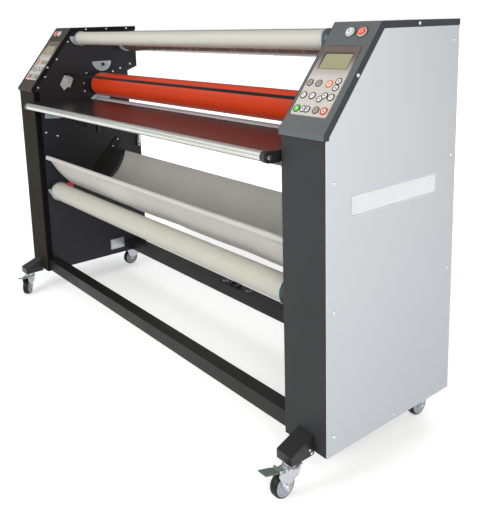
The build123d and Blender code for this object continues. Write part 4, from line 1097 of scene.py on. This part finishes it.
def makeMarks(b, side, label):
    # a stroke on the first cap and a ring on the second, as on any machine's two buttons
    for kind, (x, mark) in b["kinds"].items():
        def onCap(a, c, depth):
            return onSlope(side, x + a, b["up"] + c, b["capTop"] + depth)

        if kind == "start":
            piece = prism("stroke", roundedOutline(*b["stroke"]), *b["strokeRise"], onCap, [mark])
        else:
            piece = turnedMesh("ring", b["ring"], onCap(0, 0, 0), slopeNormal, [mark], 40)
        piece.name = f"{label}{kind.capitalize()}Mark"
        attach(piece, f"{label}_{kind}")


makeBezelShadowRings(buttons)
makeMarks(buttons, 1, "right")
makeMarks(buttons, -1, "left")

# casters
caster = {
    "spots": {
        "front_right": (946.0, -342.0, 0.0),
        "front_left": (-946.0, -342.0, 48.0),
        "rear_right": (946.0, 258.0, 0.0),
        "rear_left": (-946.0, 258.0, 0.0),
    },
    "trail": 32.0,
    "axleZ": -72.5,
    "tyre": 37.4,
    "core": 31.0,
    "halfWide": 13.0,
    "ribs": 8,
    "ribSize": (14.0, 3.0, 2.2),
    "ribCrest": 1.8,
    "ribMiddle": 0.0185,
    "ribFoot": 0.0046,
    "forkOuter": 17.0,
    "washer": [(0, 0), (0, 0.0085), (0.001, 0.0085), (0.0012, 0.0078), (0.0012, 0)],
    "nutSize": 0.005,
    "nutFoot": 20.5,
    "raceZ": -30.2,
    "race": [(0.0019, 0.0196), (0.0019, 0.0222), (0.0035, 0.023), (0.0049, 0.0215), (0.0053, 0.0196)],
}


def casterFrame(c, spot):
    # the wheel's middle, its axle's direction and the way it trails
    x, y, heading = spot
    turn = radians(heading)
    axle = Vector((cos(turn), sin(turn), 0))
    back = Vector((sin(turn), -cos(turn), 0))
    return at(x, y, c["axleZ"]) + back * c["trail"] / 1000, axle, back


def ribShape(shape):
    long, wide, high = caster["ribSize"]
    bmesh.ops.create_cube(shape, size=1.0)
    for vertex in shape.verts:
        vertex.co.x *= long
        vertex.co.y *= caster["ribCrest"] if vertex.co.z > 0 else wide
        vertex.co.z = (vertex.co.z + 0.5) * high
    bmesh.ops.bevel(shape, geom=list(shape.edges), offset=0.3, segments=1, affect="EDGES")


def bothWays(half):
    # a section and its mirror image
    return half + [(-along, radius) for along, radius in reversed(half)]


def makeWheel(c, name, spot, rib):
    centre, axle, back = casterFrame(c, spot)
    h, r, core = c["halfWide"] / 1000, c["tyre"] / 1000, c["core"] / 1000
    tread = [(-h, core - 0.0005), (-h, core + 0.0015), (-h * 0.93, r - 0.0024), (-h * 0.75, r - 0.0008),
             (-h * 0.4, r), (-0.0012, r), (-0.0007, r - 0.0009)]
    tyre = turnedMesh("tread", bothWays(tread), centre, axle, ["tyre"], 72)
    hub = [(-h, 0.0041), (-h - 0.0003, 0.0085), (-h + 0.0012, 0.0095), (-h + 0.0045, 0.0115),
           (-h + 0.0045, core - 0.006), (-h + 0.0008, core - 0.0035), (-h - 0.0002, core - 0.0022),
           (-h - 0.0002, core)]
    middle = turnedMesh("hub", bothWays(hub), centre, axle, ["wheelCore"], 64)
    spots = []
    for side in (1, -1):
        for i in range(c["ribs"]):
            angle = 2 * pi * i / c["ribs"]
            out = back * cos(angle) + Vector((0, 0, 1)) * sin(angle)
            place = centre + out * c["ribMiddle"] + axle * side * (h - c["ribFoot"])
            spots.append((place, axle * side, out))
    ribs = repeatShape("ribs", rib, spots, "wheelCore", 0.001)
    wheel = join(f"{name}Wheel", [tyre, middle, ribs])
    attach(wheel, f"{name}_tyre")
    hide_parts(f"{name}_wheel")


def makeCasterNuts(c, name, spot):
    centre, axle, back = casterFrame(c, spot)
    spots = [(centre + axle * side * (c["nutFoot"] / 1000), axle * side, back) for side in (1, -1)]
    nuts = repeatShape("nuts", hexPattern, spots, "screw", c["nutSize"])
    ring = turnedMesh("race", c["race"], at(spot[0], spot[1], c["raceZ"]), (0, 0, 1), ["zinc"])
    washers = [turnedMesh(f"washer{side}", c["washer"], centre + axle * side * (c["forkOuter"] / 1000),
                          axle * side, ["zinc"], 32) for side in (1, -1)]
    piece = join(f"{name}CasterNuts", [nuts, ring] + washers)
    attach(piece, f"{name}_swivel")


ribPattern = pattern("ribPattern", ribShape)
for name, spot in caster["spots"].items():
    makeWheel(caster, name, spot, ribPattern)
    makeCasterNuts(caster, name, spot)
print("casters made")

# ends of the rolls
rolls = {
    "front_top_roll": {"axis": frontRoll, "radius": 30.0, "bolts": 4},
    "rear_top_roll": {"axis": rearRoll, "radius": 41.0, "bolts": 6},
    "lower_roll": {"axis": lowRoll, "radius": 41.0, "bolts": 6},
}
rollEnds = (-818.0, 797.0)
rollTrim = {
    "flange": 6.0,
    "boltShare": 0.62,     # the bolt circle's radius as a share of the tube's
    "boltSize": 0.0032,
    "hub": [(0, 0.0105), (0, 0.017), (0.004, 0.017), (0.005, 0.016), (0.005, 0.0105)],
}


def makeRollEnds(t, body, roll):
    y, z = roll["axis"]
    spots, hubs = [], []
    for side, end in zip((-1, 1), rollEnds):
        face = at(end + side * t["flange"], y, z)
        along = Vector((side, 0, 0))
        for i in range(roll["bolts"]):
            angle = 2 * pi * (i + 0.5) / roll["bolts"]
            out = Vector((0, cos(angle), sin(angle)))
            spots.append((face + out * (roll["radius"] * t["boltShare"]) / 1000, along, out))
        hubs.append(turnedMesh("hub", t["hub"], face, along, ["flange"], 40))
    bolts = repeatShape("bolts", roundPattern, spots, "screw", t["boltSize"])
    piece = join(f"{body}EndTrim", hubs + [bolts])
    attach(piece, body)


for body, roll in rolls.items():
    makeRollEnds(rollTrim, body, roll)

film = {
    "radius": 50.0,
    "coreRadius": 41.0,
    "bore": 37.5,
    "margin": 18.0,
    "wraps": 9,
    "edge": (0.0011, 0.0006, 0.0005),  # a wrap's setback, its play, and every second one's lead
    "lip": 0.0008,
    "chamfer": 0.0004,
}


def makeFilm(f):
    centre = at(0, *rearRoll)
    outer, inner = f["radius"] / 1000, f["coreRadius"] / 1000
    low, high = (rollEnds[0] + f["margin"]) / 1000, (rollEnds[1] - f["margin"]) / 1000
    right, left = [], []
    edges = f["wraps"] * 2
    back, play, lead = f["edge"]
    lip, chamfer = f["lip"], f["chamfer"]
    for i in range(edges + 1):
        # each wrap's edge stands a little in or out of its neighbours
        radius = inner + (outer - chamfer - inner) * i / edges
        step = back + play * noise.noise(Vector((i * 1.7, 0.4, 2.2))) - (lead if i % 2 else 0.0)
        right.append((high - step, radius))
        left.insert(0, (low + step, radius))
    outline = right + [(high - lip, outer), (low + lip, outer)] + left
    wound = turnedMesh("woundFilm", outline, centre, (1, 0, 0), ["film"], 96)
    bore, first, last = f["bore"] / 1000, rollEnds[0] / 1000, rollEnds[1] / 1000
    tube = [(last, bore), (last, inner - chamfer), (last - chamfer, inner),
            (first + chamfer, inner), (first, inner - chamfer), (first, bore)]
    core = turnedMesh("paperCore", tube, centre, (1, 0, 0), ["kraft"], 64)
    piece = join("rearFilmRoll", [wound, core])
    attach(piece, "rear_top_roll")
    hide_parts("rear_film_roll")


makeFilm(film)
print("rolls made")

# the feed table's small parts
table = {
    "frontTube": (-315.0, 823.1),
    "tubeRadius": 15.0,
    "capX": 826.4,
    "ringX": 826.6,
    "lipX": -826.0,
    "armX": 848,
    "armBolt": 0.0075,
    "rowStart": -800,
    "screwPitch": 96.0,
    "screwY": -4.0,
    "screwSize": 0.0026,
    "topZ": 828.1,
    "strip": (1672, 9.0, 1.0, 2),      # length, width, corner and corner steps
    "stripRise": 0.8,
}


def makeTableTrim(t):
    r = t["tubeRadius"] / 1000
    cap = [(0, r - 0.0006), (0, r + 0.0006), (0.0045, r + 0.0006), (0.0062, r - 0.001),
           (0.0062, r - 0.0026), (0.0056, r - 0.0026), (0.0056, r - 0.0034)]
    ring = [(0.0054, r - 0.0032), (0.0066, r - 0.0036), (0.0066, r - 0.0058), (0.0054, r - 0.0062)]
    lip = [(0, r - 0.0006), (0.0006, r + 0.0003), (0.0055, r + 0.0003), (0.0065, r - 0.0012),
           (0.0065, r - 0.0025)]
    trim = join("frontTubeTrim", [
        turnedMesh("cap", cap, at(t["capX"], *t["frontTube"]), (1, 0, 0), ["blackPlastic"]),
        turnedMesh("ring", ring, at(t["ringX"], *t["frontTube"]), (1, 0, 0), ["yellow"]),
        turnedMesh("lip", lip, at(t["lipX"], *t["frontTube"]), (-1, 0, 0), ["polished"]),
    ])
    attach(trim, "front_tube")
    ends = [(at(side * t["armX"], *t["frontTube"]), (side, 0, 0), (0, 1, 0)) for side in (1, -1)]
    heads = repeatShape("armBolts", hexPattern, ends, "screw", t["armBolt"])
    start, pitch = t["rowStart"], t["screwPitch"]
    row = [(at(start + pitch * (i + 0.5), t["screwY"], t["topZ"] - 0.1), (0, 0, 1), (1, 0, 0))
           for i in range(int(-2 * start / pitch))]
    screws = repeatShape("tableScrews", roundPattern, row, "screw", t["screwSize"])
    strip = prism("rearStrip", roundedOutline(*t["strip"]), t["topZ"], t["topZ"] + t["stripRise"],
                  lambda a, b, depth: at(a, b + t["screwY"], depth), ["blackPlastic"])
    piece = join("tableScrewsAndBolts", [heads, screws, strip])
    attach(piece, "table")


makeTableTrim(table)

# small fittings on the left plate, and a nip guide on both plates
wallX = 858.0
fittings = {
    "rods": [
        # name, first and last end in X, Y and Z, radius, finish
        ("lever", (-848, -91, 726), (-848, -18, 698), 0.006, "blackPlastic"),
        ("leverPivot", (-wallX, -18, 698), (-845, -18, 698), 0.009, "blackPlastic"),
        ("leverEnd", (-wallX, -91, 726), (-845, -91, 726), 0.005, "blackPlastic"),
        ("pin", (-850, 42, 690), (-850, 40, 655), 0.0065, "blackPlastic"),
        ("pinFoot", (-wallX, 42, 684), (-850, 42, 684), 0.004, "blackPlastic"),
        ("hanger", (-848, 264, 616), (-848, 261, 569), 0.0075, "polished"),
        ("hangerNeck", (-848, 264, 598), (-848, 264, 590), 0.0095, "polished"),
        ("hangerBolt", (-wallX, 264, 608), (-843, 264, 608), 0.006, "screw"),
    ],
    "ball": ((-848, 261, 563), 0.0085, "copper"),
    "nipGuide": [(2, 822), (36, 846), (112, 848), (110, 813), (30, 808)],
    "nipGuideX": (849.0, 857.9),
    "nipGuideEdge": 0.0012,
    "cradleBolt": (854.2, 86, 992),
    "cradleBoltSize": 0.0085,
}


def rodBetween(name, first, last, radius, key):
    first = at(*first)
    axis = at(*last) - first
    end, edge = axis.length, radius * 0.2
    outline = [(0, 0), (0, radius * 0.8), (edge, radius), (end - edge, radius), (end, radius * 0.8),
               (end, 0)]
    return turnedMesh(name, outline, first, axis, [key], 24)


def ballAt(name, centre, radius, key):
    outline = [(-radius * cos(pi * i / 12), radius * sin(pi * i / 12)) for i in range(13)]
    outline = [(a, 0.0 if abs(r) < 1e-9 else r) for a, r in outline]
    return turnedMesh(name, outline, at(*centre), (0, 0, 1), [key], 24)


def makeFittings(f):
    parts = [rodBetween(*rod) for rod in f["rods"]]
    parts.append(ballAt("hangerBall", *f["ball"]))
    for side in (1, -1):
        guide = prism("nipGuide", f["nipGuide"], *f["nipGuideX"],
                      lambda a, b, depth: at(side * depth, a, b), ["bracket"])
        parts.append(softenEdges(guide, f["nipGuideEdge"]))
    piece = join("plateFittings", parts)
    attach(piece, "frame")
    # a dark bolt in each empty cradle
    x, y, z = f["cradleBolt"]
    spots = [(at(side * x, y, z), (-side, 0, 0), (0, 1, 0)) for side in (1, -1)]
    bolts = repeatShape("cradleBolts", roundPattern, spots, "blackPlastic", f["cradleBoltSize"])
    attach(bolts, "frame")


makeFittings(fittings)

# screws on the outriggers' outer sides, and on the cradles, brackets and tray arms inside the plates
smallScrews = {
    "size": 0.0042,
    "outer": [(976.0, -298.0, 12.0), (976.0, -292.0, -1.0)],
    "inner": [
        (854.0, 82.0, 986.0),
        (850.0, -187.0, 774.0),
        (850.0, -109.0, 921.0),
        (850.0, -92.0, 934.0),
        (852.0, 141.0, 607.0),
        (852.0, 112.0, 575.0),
    ],
}


def makeSmallScrews(s):
    spots = []
    for side in (1, -1):
        for places, facing in ((s["outer"], side), (s["inner"], -side)):
            spots += [(at(side * x, y, z), (facing, 0, 0), (0, 1, 0)) for x, y, z in places]
    piece = repeatShape("bracketScrews", roundPattern, spots, "screw", s["size"])
    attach(piece, "frame")


makeSmallScrews(smallScrews)

# bare plates: a thin rim line round each, nothing printed inside
plates = {
    # low and high Y and Z, margin, corner, width of the line, its two depths, sides, finish
    "rating": ((68.0, 146.0, 27.0, 80.0), 6, 2, 0.8, (wallX - 0.75, wallX - 0.6), (-1,), "keyDark"),
    "badge": ((-190.0, 186.0, 668.0, 730.0), 5, 11.5, 1.6, (1025.6, 1025.75), (1, -1), "headerGrey"),
}


def makePlateRims(p):
    parts = []
    for kind, ((y0, y1, z0, z1), margin, corner, line, depths, sides, key) in p.items():
        outline = roundedOutline(y1 - y0 - margin, z1 - z0 - margin, corner,
                                 middle=((y0 + y1) / 2, (z0 + z1) / 2))
        for side in sides:
            parts.append(frameLine(f"{kind}Rim", outline, line, *depths,
                                   lambda a, b, depth: at(side * depth, a, b), key))
    piece = join("plateRims", parts)
    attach(piece, "frame")


makePlateRims(plates)

# a washer and a dot on each of the rear bar's two bolts
clip = {
    "bolts": (-56.0, 104.0),
    "place": (207.0, 58.0),
    "washer": [(0.0019, 0.0085), (0.0019, 0.0127), (0.0027, 0.0124), (0.0029, 0.0115), (0.0029, 0.0085)],
    "dot": [(0.0068, 0), (0.0068, 0.0055), (0.0078, 0.005), (0.0082, 0)],
}


def makeClipRings(c):
    parts = []
    for x in c["bolts"]:
        parts.append(turnedMesh("ring", c["washer"], at(x, *c["place"]), (0, 0, 1), ["lilac"], 36))
        parts.append(turnedMesh("dot", c["dot"], at(x, *c["place"]), (0, 0, 1), ["keyBlue"], 24))
    piece = join("clipRings", parts)
    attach(piece, "frame")


makeClipRings(clip)
print("fittings made")

for piece in patterns:
    bpy.data.objects.remove(piece)

# floor, backdrop and lights
studio = {
    "floorColour": (0.82, 0.82, 0.82),
    "floorReach": 60.0,
    "nearGlow": 0.42,      # near the machine, where the lamps light the floor
    "farGlow": 1.0,
    "glowRadii": (1.3, 3.2),
    "ambient": 0.4,
    "lamps": [
        # place, aim, size, watts, colour
        ((3400, -1500, 2200), (1025, 0, 600), 2.2, 75, (1.0, 0.99, 0.97)),
        ((-2600, -2200, 2900), (-300, 0, 500), 2.6, 20, (0.97, 0.98, 1.0)),
        ((400, 2600, 3200), (0, 0, 600), 2.4, 30, (1.0, 1.0, 1.0)),
        ((-200, -3000, 1750), (0, 0, 480), 1.6, 60, (1.0, 1.0, 1.0)),
    ],
}


def seenBy(tree, *kinds):
    # 1 for the rays named, otherwise 0
    rays = addNode(tree, "ShaderNodeLightPath").outputs
    seen = rays[f"Is {kinds[0]} Ray"]
    for kind in kinds[1:]:
        seen = combine(tree, "MAXIMUM", seen, rays[f"Is {kind} Ray"])
    return seen


def paleStage(name, colour, nearGlow, farGlow, radii):
    # the camera, and what mirrors it, also get a little white, so the open floor reads as white paper
    material, tree, shader = startMaterial(name)
    paper = spread(tree, noiseOn(tree, surfacePoint(tree), 3, 3), 0.3, 0.7)
    fill(tree, shader, {
        "Base Color": blendColours(tree, paper, toned(colour, 0.995), colour),
        "Roughness": 0.9,
        "Specular IOR Level": 0.1,
    })
    away = addNode(tree, "ShaderNodeVectorMath", {0: surfacePoint(tree)}, operation="LENGTH")
    glow = spread(tree, away.outputs["Value"], *radii, nearGlow, farGlow)
    light = addNode(tree, "ShaderNodeEmission", {"Strength": glow})
    dark = addNode(tree, "ShaderNodeEmission", {"Strength": 0.0})
    seen = seenBy(tree, "Camera", "Glossy", "Transmission")
    pick = addNode(tree, "ShaderNodeMixShader", {0: seen, 1: dark.outputs[0], 2: light.outputs[0]})
    both = addNode(tree, "ShaderNodeAddShader", {0: shader.outputs[0], 1: pick.outputs[0]})
    fill(tree, tree.nodes["Material Output"], {"Surface": both.outputs[0]})
    return material


def makeStudio(s):
    finish["floor"] = paleStage("whiteFloor", s["floorColour"], s["nearGlow"], s["farGlow"], s["glowRadii"])
    reach = s["floorReach"]
    corners = [(-reach, -reach, 0), (reach, -reach, 0), (reach, reach, 0), (-reach, reach, 0)]
    floor = meshFromFaces("studioFloor", corners, [(0, 1, 2, 3)], ["floor"])
    world = bpy.data.worlds.new("whiteRoom")
    world.use_nodes = True
    bpy.context.scene.world = world
    tree = world.node_tree
    seen = seenBy(tree, "Camera", "Transmission")
    strength = spread(tree, seen, 0.0, 1.0, s["ambient"], 1.0)
    fill(tree, tree.nodes["Background"], {"Color": (1, 1, 1, 1), "Strength": strength})
    for i, (place, aim, size, watts, colour) in enumerate(s["lamps"]):
        data = bpy.data.lights.new(f"softBox{i}", "AREA")
        data.shape = "DISK"
        data.size = size
        data.energy = watts
        data.color = colour
        lamp = newObject(f"softBox{i}", data)
        lamp.location = at(*place)
        lamp.rotation_euler = (at(*aim) - at(*place)).to_track_quat("-Z", "Y").to_euler()


makeStudio(studio)
bpy.context.scene.view_settings.view_transform = "Standard"

print("scene ready")
